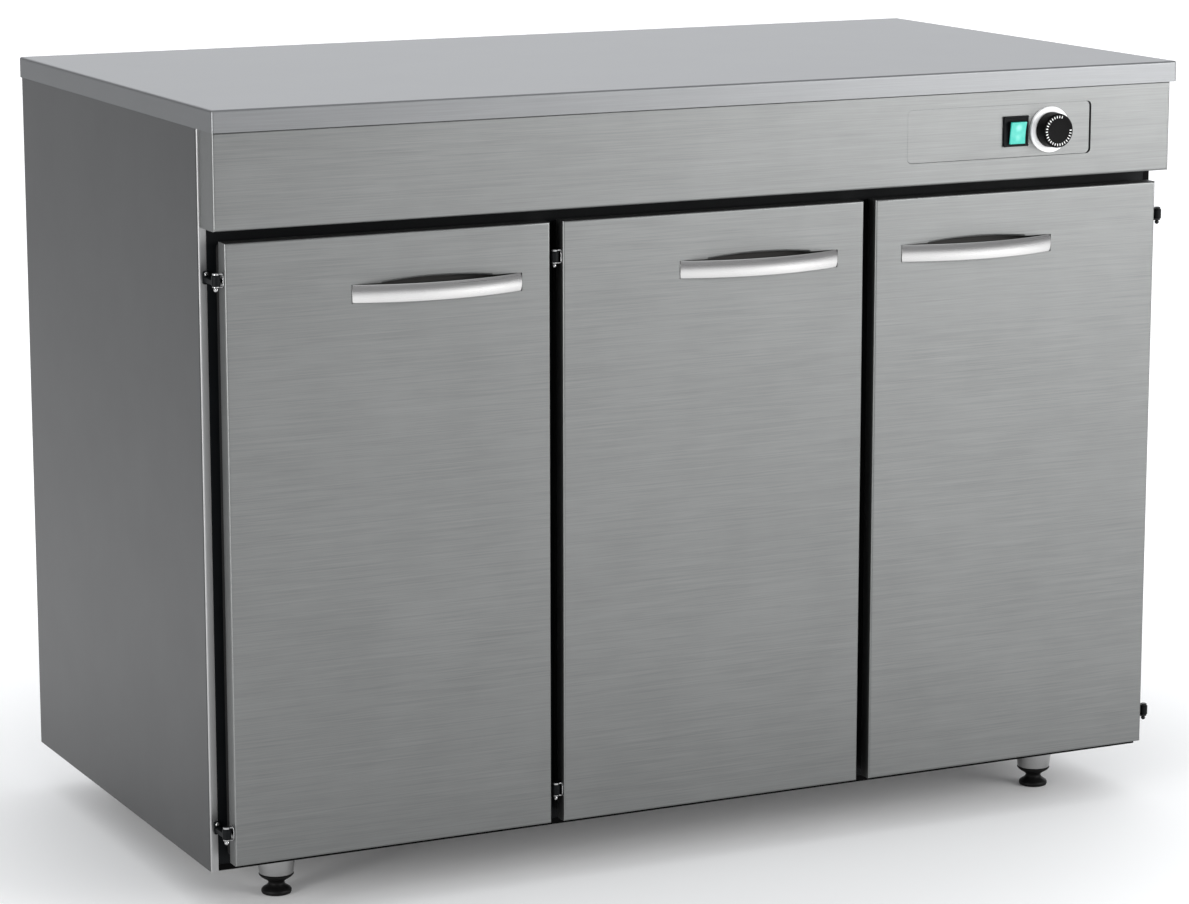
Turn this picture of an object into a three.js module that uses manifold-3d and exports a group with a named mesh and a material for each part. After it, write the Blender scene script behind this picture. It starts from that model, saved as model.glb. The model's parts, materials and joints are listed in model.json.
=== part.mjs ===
// Heated three-door cabinet with a worktop. Millimetres, Z up, front towards -Y, origin on the floor.
import * as THREE from 'three';
import { mergeVertices } from 'three/addons/utils/BufferGeometryUtils.js';
import Module from 'manifold-3d';

const wasm = await Module();
wasm.setup();

// Fits and facets
const seat = 0.3; // gap between pieces that touch
const leastRadius = 0.5; // smallest corner of an inner outline
const bendSteps = 2; // facets in a quarter turn of a folded edge
const roundSides = 18; // facets round a turned piece
const smallSides = 10; // facets round a hinge's eye and pin
const footSides = 14; // facets round a foot
const tubeSides = 6; // facets round a heating element or capillary
const tubeSteps = 16; // facets along one

// Sheet metal
const sheet = 1.5;
const bendRadius = 2.5; // outside radius of a folded edge
const doorSheet = 1.2;
const skin = 1; // sheet of a double-skinned panel

// Worktop
const worktopWidth = 1200;
const worktopDepth = 648;
const worktopEdge = 24; // height of the folded edge
const worktopCorner = 1.5; // plan radius of its corners past the fold's radius
const worktopLip = 14; // return under the folded edge
const frontOverhang = 8.1; // worktop past the apron's face
const panelInset = 0.5; // side panel inside the worktop's end
const backInset = 4.8; // back of the body inside the worktop's back edge

// Body
const bodyHeight = 813.5; // underside of the base to underside of the worktop
const apronHeight = 104.9;
const apronInset = 3.1; // apron's end inside the worktop's end
const doorZone = 41.8; // apron's face to the front plane of the body
const panelFlange = 9.3; // side panel's edge that shows beside frame and back
const frameDepth = 18;
const frameRise = 24; // frame's top rail behind the apron
const sideLap = 14.25; // door past the opening at its sides
const openingCorner = 6;
const baseLip = 7; // base edge that shows under the frame
const baseThickness = 29;
const roofThickness = 25;
const backThickness = 30;

// Shelf runners pressed into panels and partitions
const runnerRise = 56; // lowest runner above the base's top
const runnerHeadroom = 60; // least space between the highest runner and the roof
const runnerPitch = 110;
const runnerReach = 14;
const runnerLip = 2;
const runnerEndGap = 16; // runner's ends short of frame and back
const ventLength = 150;
const ventHeight = 18;
const ventCount = 2;

// Shelves, heater guards and heating elements
const guardLevel = 0;
const shelfPlay = 2; // shelf's side short of the wall
const shelfFrontGap = 6.7; // shelf's front edge behind the frame
const shelfBackGap = 8;
const shelfLip = 12;
const slotColumns = 3;
const slotRows = 4;
const slotBridge = 17.4; // metal between two slots in a row
const slotWidth = 10;
const shelfBorder = 36; // plain margin round the slots
const heaterRadius = 4.25;
const heaterRise = 26; // element above the base's top
const heaterSpread = 120; // distance between its two legs
const heaterFrontGap = 143.2; // element's bend behind the frame
const heaterPlate = 3;
const heaterPlateHeight = 30;
const heaterFoot = 12;

// Doors
const doorGap = 15.5;
const doorMargin = 13.5; // outer door edge inside the apron's end
const doorTopGap = 13.4;
const doorFloorGap = 13.4; // door's bottom above the underside of the base
const doorThickness = 18;
const doorSetback = 5.45; // door's face behind the apron's face
const openingLap = 16; // door past the opening at top and bottom
const doorBulge = 10; // pressed plug on the inner panel
const bulgeGap = 4; // plug to gasket
const bulgeCorner = 12;
const gasketWidth = 10;
const gasketInset = 3;
const gasketRound = 2.5;
const gasketCorner = 6;

// Bow handle and its pocket
const handleLength = 200;
const handleHeight = 19.8;
const handleDrop = 53.8; // handle's top edge below the door's top
const handleEdge = 34.5; // handle's end inside the door's free edge
const handleBow = 20; // strip's middle in front of its ends
const handleThickness = 2.2;
const handleCrown = 1.8; // outward curve of the strip's section
const handleSteps = 12;
const handleEndGap = 1.2; // strip's end to the slot's end
const fingerEnd = 32; // level part of the slot's top edge at either end
const fingerRise = 4.4;
const fingerShoulder = 6; // length over which the slot's top edge rises
const pocketClearance = 3.3; // pocket's floor to the inner panel
const pocketFlange = 7;

// Hinges
const hingeSetback = 6.5; // pivot behind the door's face
const hingeTopInset = 39.6; // upper hinge's centre below the door's top
const hingeFloorInset = 36.6; // lower hinge's centre above the door's bottom
const eyePlay = 0.35; // eye to the fork's plate
const eyeHeight = 11.5;
const pinRadius = 2.8;
const pinPlay = 0.35;
const armWidth = 7;
const armPlate = 3;
const armPlateWidth = 10;
const armPlateHeight = 25;
const armCorner = 2.5;
const lugRadius = 5.2;
const upperLug = 3.6;
const lowerLug = 2;
const lugGap = 0.4; // lug to eye
const pinHead = 3.9; // radius of the pin's head
const pinDome = 4.2;
const pinRound = 2;
const forkPlate = 1;
const forkPlateDepth = 12;
const forkPlateMargin = 1.5; // fork plate past its lugs
const forkCorner = 4;

// Controls
const plateWidth = 246;
const plateFloorGap = 26; // cut-out's bottom above the apron's bottom
const plateCorner = 5.5;
const plateEndInset = 109.1; // cut-out's end inside the apron's end
const plateDrop = 17.9; // cut-out's top below the apron's top
const plateReveal = 0.5; // plate's edge to the cut-out
const plateEndGap = 2.6; // the same at the plate's outer end
const plateSink = 0.4; // plate's face behind the apron's face
const plateFlange = 8;
const switchFromEnd = 102.8; // switch's centre inside the cut-out's end
const switchWidth = 33;
const switchHeight = 35.3;
const switchRim = 2.5;
const switchCorner = 2;
const switchBodyInset = 2.4; // body behind the plate inside the rim
const switchBodyDepth = 26;
const rockerWidth = 20;
const rockerHeight = 25.5;
const rockerPlay = 0.6;
const rockerPivot = 4; // pivot behind the apron's face
const rockerProud = 8; // rocker's ends in front of the apron's face
const rockerDish = 2.5; // rocker's middle behind its ends
const rockerTaper = 1.2;
const rockerTilt = 8; // degrees from the middle position
const bladeWidth = 6.3;
const bladeThickness = 0.8;
const bladeLength = 8;
const bladePitch = 10;
const dialFromEnd = 56.8; // dial's centre inside the cut-out's end
const bezelRadius = 27;
const bezelThickness = 3.5;
const bezelEdge = 1.8;
const knobRadius = 20.3;
const knobReach = 20.5; // knob's face in front of the apron's face
const knobGap = 0.8; // knob to bezel
const knobRound = 1.8;
const knobDraft = 0.5;
const spindleRadius = 3;
const spindlePlay = 0.35;
const spindleSink = 9; // spindle inside the thermostat
const spindleGrip = 10; // spindle inside the knob
const bushRadius = 5;
const thermostatWidth = 38;
const thermostatHeight = 44;
const thermostatDepth = 27;
const capillaryRadius = 1.4;
const capillaryDrop = 6; // tube's start below the dial's axis
const capillaryRun = 62; // tube's descent behind the thermostat
const capillaryBend = 15.5;
const bulbLead = 31; // bulb's start behind the tube's descent
const capillaryHole = 4;
const bulbRadius = 4;
const bulbLength = 90;
const bulbDrop = 24; // bulb's axis below the liner roof
const clipWidth = 6;

// Rear wall fittings
const louvreCount = 9;
const louvreLength = 46;
const louvreWidth = 5;
const louvrePitch = 14;
const louvreFromEnd = 200; // first slot inside the panel's end
const inletWidth = 90;
const inletHeight = 70;
const inletFloor = 10; // wall left behind the recess
const inletFromEnd = 120; // inlet recess's centre inside the panel's end
const glandRadius = 8;
const glandNutRadius = 13;
const glandNut = 6;
const glandCap = 9;
const glandCapRadius = 11;
const glandBore = 4.5;

// Feet
const footHeight = 56.5; // floor to underside of the base
const footSideInset = 102.1; // foot's axis inside the side panel's face
const footFrontInset = 66.9; // foot's axis behind the front plane, and in front of the back
const socketRadius = 23.8;
const socketTaper = 1.3;
const footExposed = 23.8; // floor to the socket's lower edge
const socketBore = 7.5;
const stemRadius = 6.5;
const stemHeadroom = 5.2; // stem's end to the socket's top plate
const padRadius = 17;
const padHeight = 7.5;
const padRound = 2;
const padSlope = 3.5;
const neckRadius = 9;
const skirtHeight = 3;

// Places that follow from the sizes, in the cabinet's frame:
// Y from the apron's face, Z from the base's underside
const faceCorner = bendRadius + leastRadius; // corner of a folded tray's face
const worktopBack = worktopDepth - frontOverhang;
const bodyBack = worktopBack - backInset;
const overallDepth = knobReach + worktopBack;
const apronHalf = worktopWidth / 2 - apronInset;
const apronFloor = bodyHeight - apronHeight;
const apronTop = bodyHeight - seat;
const apronDepth = doorZone - seat;
const doorWidth = (2 * apronHalf - 2 * doorMargin - 2 * doorGap) / 3;
const bayPitch = doorWidth + doorGap;
const mullionWidth = doorGap + 2 * sideLap;
const bayWidth = bayPitch - mullionWidth;
const doorTop = apronFloor - doorTopGap;
const doorHeight = doorTop - doorFloorGap;
const pivotY = doorSetback + hingeSetback;
const panelFace = worktopWidth / 2 - panelInset;
const panelEdge = panelFace - panelFlange;
const panelInner = bayPitch + bayWidth / 2;
const frameBack = doorZone + frameDepth;
const frameTop = apronFloor + frameRise;
const backFront = bodyBack - backThickness;
const openingFloor = doorFloorGap + openingLap;
const openingTop = doorTop - openingLap;
const roofFloor = openingTop;
const runnerFirst = baseThickness + runnerRise;
const runnerCount = Math.floor((roofFloor - runnerFirst - runnerHeadroom) / runnerPitch) + 1;
const shelfLevel = Math.floor(runnerCount / 2);
const plateEnd = apronHalf - plateEndInset;
const plateTop = bodyHeight - plateDrop;
const plateHeight = apronHeight - plateDrop - plateFloorGap;
const controlZ = plateTop - plateHeight / 2;
const switchX = plateEnd - switchFromEnd;
const dialX = plateEnd - dialFromEnd;
const plateBack = sheet + seat + sheet;
const spaceFront = frameBack + seat;
const spaceBack = backFront - seat;
const shelfDepth = spaceBack - spaceFront - shelfFrontGap - shelfBackGap;
const inletDepth = backThickness - inletFloor;
const socketHeight = footHeight - footExposed;
const eyeRadius = doorGap / 2 - seat - forkPlate - eyePlay;
const footX = panelFace - footSideInset;
const footFrontY = doorZone + footFrontInset;
const footBackY = bodyBack - footFrontInset;

// Joining and cutting
function solidOf(geometry) {
  const bare = geometry.clone();
  bare.deleteAttribute('normal');
  bare.deleteAttribute('uv');
  const merged = mergeVertices(bare, 1e-3);
  const corners = merged.index.array;
  const kept = [];
  for (let i = 0; i < corners.length; i += 3) {
    const [a, b, c] = corners.subarray(i, i + 3);
    if (a !== b && b !== c && c !== a) {
      kept.push(a, b, c);
    }
  }
  return new wasm.Manifold(new wasm.Mesh({
    numProp: 3,
    vertProperties: new Float32Array(merged.attributes.position.array),
    triVerts: new Uint32Array(kept),
  }));
}

function geometryOf(solid) {
  const mesh = solid.getMesh();
  const indexed = new THREE.BufferGeometry();
  indexed.setAttribute('position', new THREE.BufferAttribute(mesh.vertProperties, 3));
  indexed.setIndex(new THREE.BufferAttribute(mesh.triVerts, 1));
  const faceted = indexed.toNonIndexed();
  faceted.computeVertexNormals();
  return faceted;
}

const joined = (...solids) => solids.reduce((whole, piece) => whole.add(piece));
const less = (solid, ...cuts) => cuts.reduce((left, cut) => left.subtract(cut), solid);

// Outlines
function outline(points) {
  return new THREE.Shape(points.map(([x, y]) => new THREE.Vector2(x, y)));
}

function rectangle(x0, y0, x1, y1) {
  return outline([[x0, y0], [x1, y0], [x1, y1], [x0, y1]]);
}

function roundedRectangle(x0, y0, x1, y1, radius, shape = new THREE.Shape()) {
  const quarter = Math.PI / 2;
  shape.moveTo(x0 + radius, y0);
  shape.lineTo(x1 - radius, y0);
  shape.absarc(x1 - radius, y0 + radius, radius, -quarter, 0);
  shape.lineTo(x1, y1 - radius);
  shape.absarc(x1 - radius, y1 - radius, radius, 0, quarter);
  shape.lineTo(x0 + radius, y1);
  shape.absarc(x0 + radius, y1 - radius, radius, quarter, 2 * quarter);
  shape.lineTo(x0, y0 + radius);
  shape.absarc(x0 + radius, y0 + radius, radius, 2 * quarter, 3 * quarter);
  return shape;
}

function disc(x, y, radius, sides = roundSides) {
  const points = [];
  for (let i = 0; i < sides; i += 1) {
    const turn = (2 * Math.PI * i) / sides;
    points.push([x + radius * Math.cos(turn), y + radius * Math.sin(turn)]);
  }
  return outline(points);
}

function pierced(shape, ...holes) {
  shape.holes.push(...holes);
  return shape;
}

// Extrusions along one axis: outlines are drawn in XY, XZ or YZ
const plain = (depth) => ({ depth, bevelEnabled: false, curveSegments: bendSteps });
const toX = new THREE.Matrix4().set(0, 0, 1, 0, 1, 0, 0, 0, 0, 1, 0, 0, 0, 0, 0, 1);

function alongZ(shape, z0, z1) {
  return solidOf(new THREE.ExtrudeGeometry(shape, plain(z1 - z0)).translate(0, 0, z0));
}

function alongY(shape, y0, y1) {
  const geometry = new THREE.ExtrudeGeometry(shape, plain(y1 - y0));
  return solidOf(geometry.rotateX(Math.PI / 2).translate(0, y1, 0));
}

function alongX(shape, x0, x1) {
  const geometry = new THREE.ExtrudeGeometry(shape, plain(x1 - x0));
  return solidOf(geometry.applyMatrix4(toX).translate(x0, 0, 0));
}

// Extrusion whose two end edges are rounded inside the outline
function rolled(shape, length, radius, steps = bendSteps) {
  return new THREE.ExtrudeGeometry(shape, {
    depth: length - 2 * radius,
    bevelEnabled: true,
    bevelThickness: radius,
    bevelSize: radius,
    bevelOffset: -radius,
    bevelSegments: steps,
    curveSegments: bendSteps,
  }).translate(0, 0, radius);
}

function rolledZ(shape, z0, z1, radius) {
  return solidOf(rolled(shape, z1 - z0, radius).translate(0, 0, z0));
}

function rolledY(shape, y0, y1, radius, steps = bendSteps) {
  return solidOf(rolled(shape, y1 - y0, radius, steps).rotateX(Math.PI / 2).translate(0, y1, 0));
}

// Block with only its front edges rounded
function pressedY(shape, y0, y1, radius) {
  return rolledY(shape, y0, y1 + radius, radius).trimByPlane([0, -1, 0], -y1);
}

// Turned pieces: profile points are radius and height
function turnedZ(points, sides = roundSides) {
  const profile = points.map(([radius, height]) => new THREE.Vector2(radius, height));
  return solidOf(new THREE.LatheGeometry(profile, sides).rotateX(Math.PI / 2));
}

function turnedY(points) {
  const profile = points.map(([radius, height]) => new THREE.Vector2(radius, height));
  return solidOf(new THREE.LatheGeometry(profile, roundSides));
}

function tube(points, radius, sides, steps) {
  const path = new THREE.CatmullRomCurve3(points.map((point) => new THREE.Vector3(...point)));
  const ring = [];
  for (let i = 0; i < sides; i += 1) {
    const turn = (2 * Math.PI * i) / sides;
    ring.push([radius * Math.cos(turn), radius * Math.sin(turn)]);
  }
  return solidOf(new THREE.ExtrudeGeometry(outline(ring), { steps, extrudePath: path, bevelEnabled: false }));
}

// Quarter-round profile points from one place to another, for turned edges
function roundedEdge(centreRadius, centreHeight, radius, from, to) {
  const points = [];
  for (let i = 0; i <= bendSteps; i += 1) {
    const turn = THREE.MathUtils.degToRad(from + ((to - from) * i) / bendSteps);
    points.push([centreRadius + radius * Math.cos(turn), centreHeight + radius * Math.sin(turn)]);
  }
  return points;
}

// Worktop: a folded pan, open underneath inside its return lip
function worktop() {
  const plan = (inset) => roundedRectangle(
    -worktopWidth / 2 + inset,
    -frontOverhang + inset,
    worktopWidth / 2 - inset,
    worktopBack - inset,
    Math.max(bendRadius + worktopCorner - inset, leastRadius),
  );
  const top = bodyHeight + worktopEdge;
  const hollow = alongZ(plan(sheet), bodyHeight + sheet, top - sheet);
  const mouth = alongZ(plan(worktopLip), bodyHeight - sheet, bodyHeight + 2 * sheet);
  return less(rolledZ(plan(0), bodyHeight, top, bendRadius), hollow, mouth);
}

// Runner ledges down one wall, as outline points from top to bottom
function runnerPoints(wallX, towards) {
  const points = [];
  for (let level = runnerCount - 1; level >= 0; level -= 1) {
    const z = runnerFirst + level * runnerPitch;
    points.push([wallX, z]);
    points.push([wallX + towards * runnerReach, z]);
    points.push([wallX + towards * runnerReach, z - runnerLip]);
    points.push([wallX, z - runnerLip - runnerReach]);
  }
  return points;
}

const runnerFront = spaceFront + runnerEndGap;
const runnerBack = spaceBack - runnerEndGap;

// Side panel on the +X side: double skin, open at the top, rebated for the front frame and the back panel
function sidePanel() {
  const section = outline([
    [panelInner, 0],
    [panelFace, 0],
    [panelFace, bodyHeight - seat],
    [panelInner, bodyHeight - seat],
    ...runnerPoints(panelInner, -1),
  ]);
  const plan = new THREE.Shape();
  plan.moveTo(panelEdge, doorZone);
  plan.lineTo(panelFace - bendRadius, doorZone);
  plan.absarc(panelFace - bendRadius, doorZone + bendRadius, bendRadius, -Math.PI / 2, 0);
  plan.lineTo(panelFace, bodyBack - bendRadius);
  plan.absarc(panelFace - bendRadius, bodyBack - bendRadius, bendRadius, 0, Math.PI / 2);
  plan.lineTo(panelEdge, bodyBack);
  plan.lineTo(panelEdge, spaceBack);
  plan.lineTo(panelInner, spaceBack);
  plan.lineTo(panelInner, runnerBack);
  plan.lineTo(panelInner - runnerReach, runnerBack);
  plan.lineTo(panelInner - runnerReach, runnerFront);
  plan.lineTo(panelInner, runnerFront);
  plan.lineTo(panelInner, spaceFront);
  plan.lineTo(panelEdge, spaceFront);
  const core = rectangle(panelInner + skin, spaceFront + skin, panelFace - skin, spaceBack - skin);
  const wall = alongY(section, doorZone, bodyBack).intersect(alongZ(plan, 0, bodyHeight));
  return less(wall, alongZ(core, skin, bodyHeight));
}

// Partition between two bays: double skin, open at the top, with runners and sleeved slots for the warm air
function partition() {
  const half = mullionWidth / 2;
  const floor = baseThickness + seat;
  const ceiling = roofFloor - seat;
  const leftRunners = runnerPoints(-half, -1);
  const section = outline([
    [-half, floor],
    [half, floor],
    ...runnerPoints(half, 1).reverse(),
    [half, ceiling],
    [-half, ceiling],
    ...leftRunners,
  ]);
  const wide = half + runnerReach;
  const plan = outline([
    [-half, spaceFront],
    [half, spaceFront],
    [half, runnerFront],
    [wide, runnerFront],
    [wide, runnerBack],
    [half, runnerBack],
    [half, spaceBack],
    [-half, spaceBack],
    [-half, runnerBack],
    [-wide, runnerBack],
    [-wide, runnerFront],
    [-half, runnerFront],
  ]);
  const wall = alongY(section, spaceFront, spaceBack).intersect(alongZ(plan, floor, ceiling));
  const vents = [];
  const sleeves = [];
  const ventPitch = (runnerBack - runnerFront) / ventCount;
  for (let level = 0; level < runnerCount - 1; level += 1) {
    const ventZ = runnerFirst + level * runnerPitch + (runnerPitch - runnerReach) / 2;
    for (let i = 0; i < ventCount; i += 1) {
      const ventY = runnerFront + (i + 1 / 2) * ventPitch;
      const vent = (margin) => rectangle(
        ventY - ventLength / 2 - margin,
        ventZ - ventHeight / 2 - margin,
        ventY + ventLength / 2 + margin,
        ventZ + ventHeight / 2 + margin,
      );
      vents.push(alongX(vent(0), -wide, wide));
      sleeves.push(alongX(vent(skin), -wide, wide));
    }
  }
  const core = alongZ(
    rectangle(-half + skin, spaceFront + skin, half - skin, spaceBack - skin),
    floor + skin,
    roofFloor,
  );
  return less(wall, less(core, ...sleeves), ...vents);
}

// Base: a double-skinned slab between the side panels, open at its back edge, with a thin lip under the frame
function basePanel() {
  const half = panelInner - seat;
  const lipHalf = panelEdge - seat;
  const lip = outline([
    [-lipHalf, doorZone],
    [lipHalf, doorZone],
    [lipHalf, frameBack],
    [half, frameBack],
    [half, spaceBack],
    [-half, spaceBack],
    [-half, frameBack],
    [-lipHalf, frameBack],
  ]);
  const slab = joined(
    alongZ(lip, 0, baseLip),
    alongZ(rectangle(-half, spaceFront, half, spaceBack), 0, baseThickness),
  );
  const core = rectangle(-half + skin, skin, half - skin, baseThickness - skin);
  return less(slab, alongY(core, spaceFront + skin, bodyBack));
}

// Liner roof: a tray with turned-up edges, pierced for the thermostat's capillary
function linerRoof() {
  const half = panelInner - seat;
  const plan = (inset) => rectangle(-half + inset, spaceFront + inset, half - inset, spaceBack - inset);
  const top = roofFloor + roofThickness;
  return less(
    alongZ(plan(0), roofFloor, top),
    alongZ(plan(skin), roofFloor + skin, top + skin),
    alongZ(disc(dialX, capillaryY(), capillaryHole, smallSides), roofFloor - skin, top),
  );
}

// Back panel: double skin, open at the top, with vent slots and a recess for the mains gland
function backPanel() {
  const half = panelEdge - seat;
  const wall = alongY(rectangle(-half, 0, half, bodyHeight - seat), backFront, bodyBack);
  const core = alongY(
    rectangle(-half + skin, skin, half - skin, bodyHeight),
    backFront + skin,
    bodyBack - skin,
  );
  const louvreX = -half + louvreFromEnd;
  const louvreHalf = louvreLength / 2;
  const louvres = [];
  for (let i = 0; i < louvreCount; i += 1) {
    const x = louvreX + i * louvrePitch;
    const slot = rectangle(x, controlZ - louvreHalf, x + louvreWidth, controlZ + louvreHalf);
    louvres.push(alongY(slot, backFront - skin, bodyBack + skin));
  }
  const louvreEnd = louvreX + (louvreCount - 1) * louvrePitch + louvreWidth;
  const louvreSurround = alongY(
    rectangle(louvreX - skin, controlZ - louvreHalf - skin, louvreEnd + skin, controlZ + louvreHalf + skin),
    backFront,
    bodyBack,
  );
  const inlet = (margin) => alongY(
    roundedRectangle(
      inletX() - inletWidth / 2 - margin,
      controlZ - inletHeight / 2 - margin,
      inletX() + inletWidth / 2 + margin,
      controlZ + inletHeight / 2 + margin,
      openingCorner,
    ),
    bodyBack - inletDepth - margin,
    bodyBack + skin,
  );
  const glandHole = (margin) => alongY(
    disc(inletX(), controlZ, glandRadius + seat + margin),
    backFront - skin,
    bodyBack,
  );
  const hollow = less(core, louvreSurround, inlet(skin), glandHole(skin));
  return less(wall, hollow, inlet(0), glandHole(0), ...louvres);
}

function inletX() {
  return panelEdge - seat - inletFromEnd;
}

// Mains gland: a threaded body through the wall, a nut and a domed cap, bored for the lead
function cableGland() {
  const face = bodyBack - inletDepth + seat;
  const body = turnedY([
    [glandBore, backFront - glandNut],
    [glandRadius, backFront - glandNut],
    [glandRadius, face + glandNut / 2],
    [glandCapRadius, face + glandNut],
    [glandCapRadius, face + glandNut + glandCap / 2],
    [glandBore, face + glandNut + glandCap],
    [glandBore, backFront - glandNut],
  ]);
  const hexagon = [];
  for (let i = 0; i < 6; i += 1) {
    const turn = (i * Math.PI) / 3;
    hexagon.push([glandNutRadius * Math.cos(turn), glandNutRadius * Math.sin(turn)]);
  }
  const nutOutline = pierced(outline(hexagon), disc(0, 0, (glandBore + glandRadius) / 2));
  const nut = alongY(nutOutline, face, face + glandNut);
  return joined(body, nut);
}

// Black frame round the three openings
function frontFrame() {
  const half = panelEdge - seat;
  const frame = rectangle(-half, baseLip + seat, half, frameTop);
  for (const x of [-bayPitch, 0, bayPitch]) {
    const hole = roundedRectangle(
      x - bayWidth / 2,
      openingFloor,
      x + bayWidth / 2,
      openingTop,
      openingCorner,
      new THREE.Path(),
    );
    pierced(frame, hole);
  }
  return alongY(frame, doorZone, frameBack);
}

// Apron: a folded tray, open at the back, with the cut-out for the control plate
function frontApron() {
  const face = (inset) => roundedRectangle(
    -apronHalf + inset,
    apronFloor + inset,
    apronHalf - inset,
    apronTop - inset,
    Math.max(faceCorner - inset, leastRadius),
  );
  return less(
    pressedY(face(0), 0, apronDepth, bendRadius),
    alongY(face(sheet), sheet, apronDepth + sheet),
    alongY(plateOutline(0), -sheet, 2 * sheet),
  );
}

function plateOutline(inset, endInset = inset) {
  return roundedRectangle(
    plateEnd - plateWidth + inset,
    controlZ - plateHeight / 2 + inset,
    plateEnd - endInset,
    controlZ + plateHeight / 2 - inset,
    Math.max(plateCorner - inset, leastRadius),
  );
}

// Control plate: the face fills the cut-out, and a flange behind it meets the apron's back
function controlPlate() {
  const switchHole = switchOutline(switchBodyInset - seat, switchCorner);
  const bushHole = disc(dialX, controlZ, bushRadius + seat);
  return less(
    joined(
      alongY(plateOutline(plateReveal, plateEndGap), plateSink, plateBack),
      alongY(plateOutline(-plateFlange), sheet + seat, plateBack),
    ),
    alongY(switchHole, -sheet, plateBack + sheet),
    alongY(bushHole, -sheet, plateBack + sheet),
  );
}

function switchOutline(inset, corner) {
  return roundedRectangle(
    switchX - switchWidth / 2 + inset,
    controlZ - switchHeight / 2 + inset,
    switchX + switchWidth / 2 - inset,
    controlZ + switchHeight / 2 - inset,
    corner,
  );
}

// Switch housing: a rim in front of the plate, a body behind it, a well for the rocker and contact blades
function switchHousing() {
  const rimBack = plateSink - seat;
  const bodyBackY = rimBack + switchBodyDepth;
  const blades = [-1, 0, 1].map((step) => alongY(
    rectangle(
      switchX - bladeWidth / 2,
      controlZ + step * bladePitch - bladeThickness / 2,
      switchX + bladeWidth / 2,
      controlZ + step * bladePitch + bladeThickness / 2,
    ),
    bodyBackY - bladeThickness,
    bodyBackY + bladeLength,
  ));
  const well = rectangle(
    switchX - rockerWidth / 2 - rockerPlay,
    controlZ - rockerHeight / 2 - rockerPlay,
    switchX + rockerWidth / 2 + rockerPlay,
    controlZ + rockerHeight / 2 + rockerPlay,
  );
  const wellFloor = rockerPivot + rockerHeight / 2;
  const rim = rolledY(switchOutline(0, switchCorner), -switchRim, rimBack, switchRim / 3);
  const body = alongY(switchOutline(switchBodyInset, switchCorner), rimBack - switchRim / 2, bodyBackY);
  return less(joined(rim, body, ...blades), alongY(well, -2 * switchRim, wellFloor));
}

// Rocker about its pivot: a dished face, tapered sides and a narrow heel
function rocker() {
  const half = rockerHeight / 2;
  const face = -rockerProud - rockerPivot;
  const profile = new THREE.Shape();
  profile.moveTo(face, -half);
  profile.lineTo(-rockerPivot, -half + rockerTaper);
  profile.lineTo(0, -half + 2 * rockerTaper);
  profile.lineTo(half / 2, 0);
  profile.lineTo(0, half - 2 * rockerTaper);
  profile.lineTo(-rockerPivot, half - rockerTaper);
  profile.lineTo(face, half);
  profile.quadraticCurveTo(face + 2 * rockerDish, 0, face, -half);
  return alongX(profile, -rockerWidth / 2, rockerWidth / 2);
}

// Dial, turned about its own axis with the apron's face at height 0
function dialBezel() {
  const back = plateSink - seat;
  const front = back - bezelThickness;
  const bore = bushRadius + seat;
  return turnedY([
    [bore, front],
    [bezelRadius - 2 * bezelEdge, front],
    [bezelRadius - bezelEdge / 2, front + bezelEdge / 2],
    [bezelRadius, front + bezelEdge],
    [bezelRadius, back],
    [bore, back],
    [bore, front],
  ]);
}

function thermostatKnob() {
  const back = plateSink - seat - bezelThickness - knobGap;
  const frontRadius = knobRadius - knobDraft;
  const bore = spindleRadius + seat;
  const boreEnd = back - spindleGrip - seat;
  return turnedY([
    [0, -knobReach],
    ...roundedEdge(frontRadius - knobRound, -knobReach + knobRound, knobRound, -90, 0),
    [knobRadius, back],
    [bore, back],
    [bore, boreEnd],
    [0, boreEnd],
  ]);
}

function thermostatSpindle() {
  const tip = plateSink - seat - bezelThickness - knobGap - spindleGrip;
  const heel = plateBack + seat + spindleSink;
  return turnedY([[0, tip], [spindleRadius, tip], [spindleRadius, heel], [0, heel]]);
}

function capillaryY() {
  return plateBack + seat + thermostatDepth + capillaryRun;
}

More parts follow.
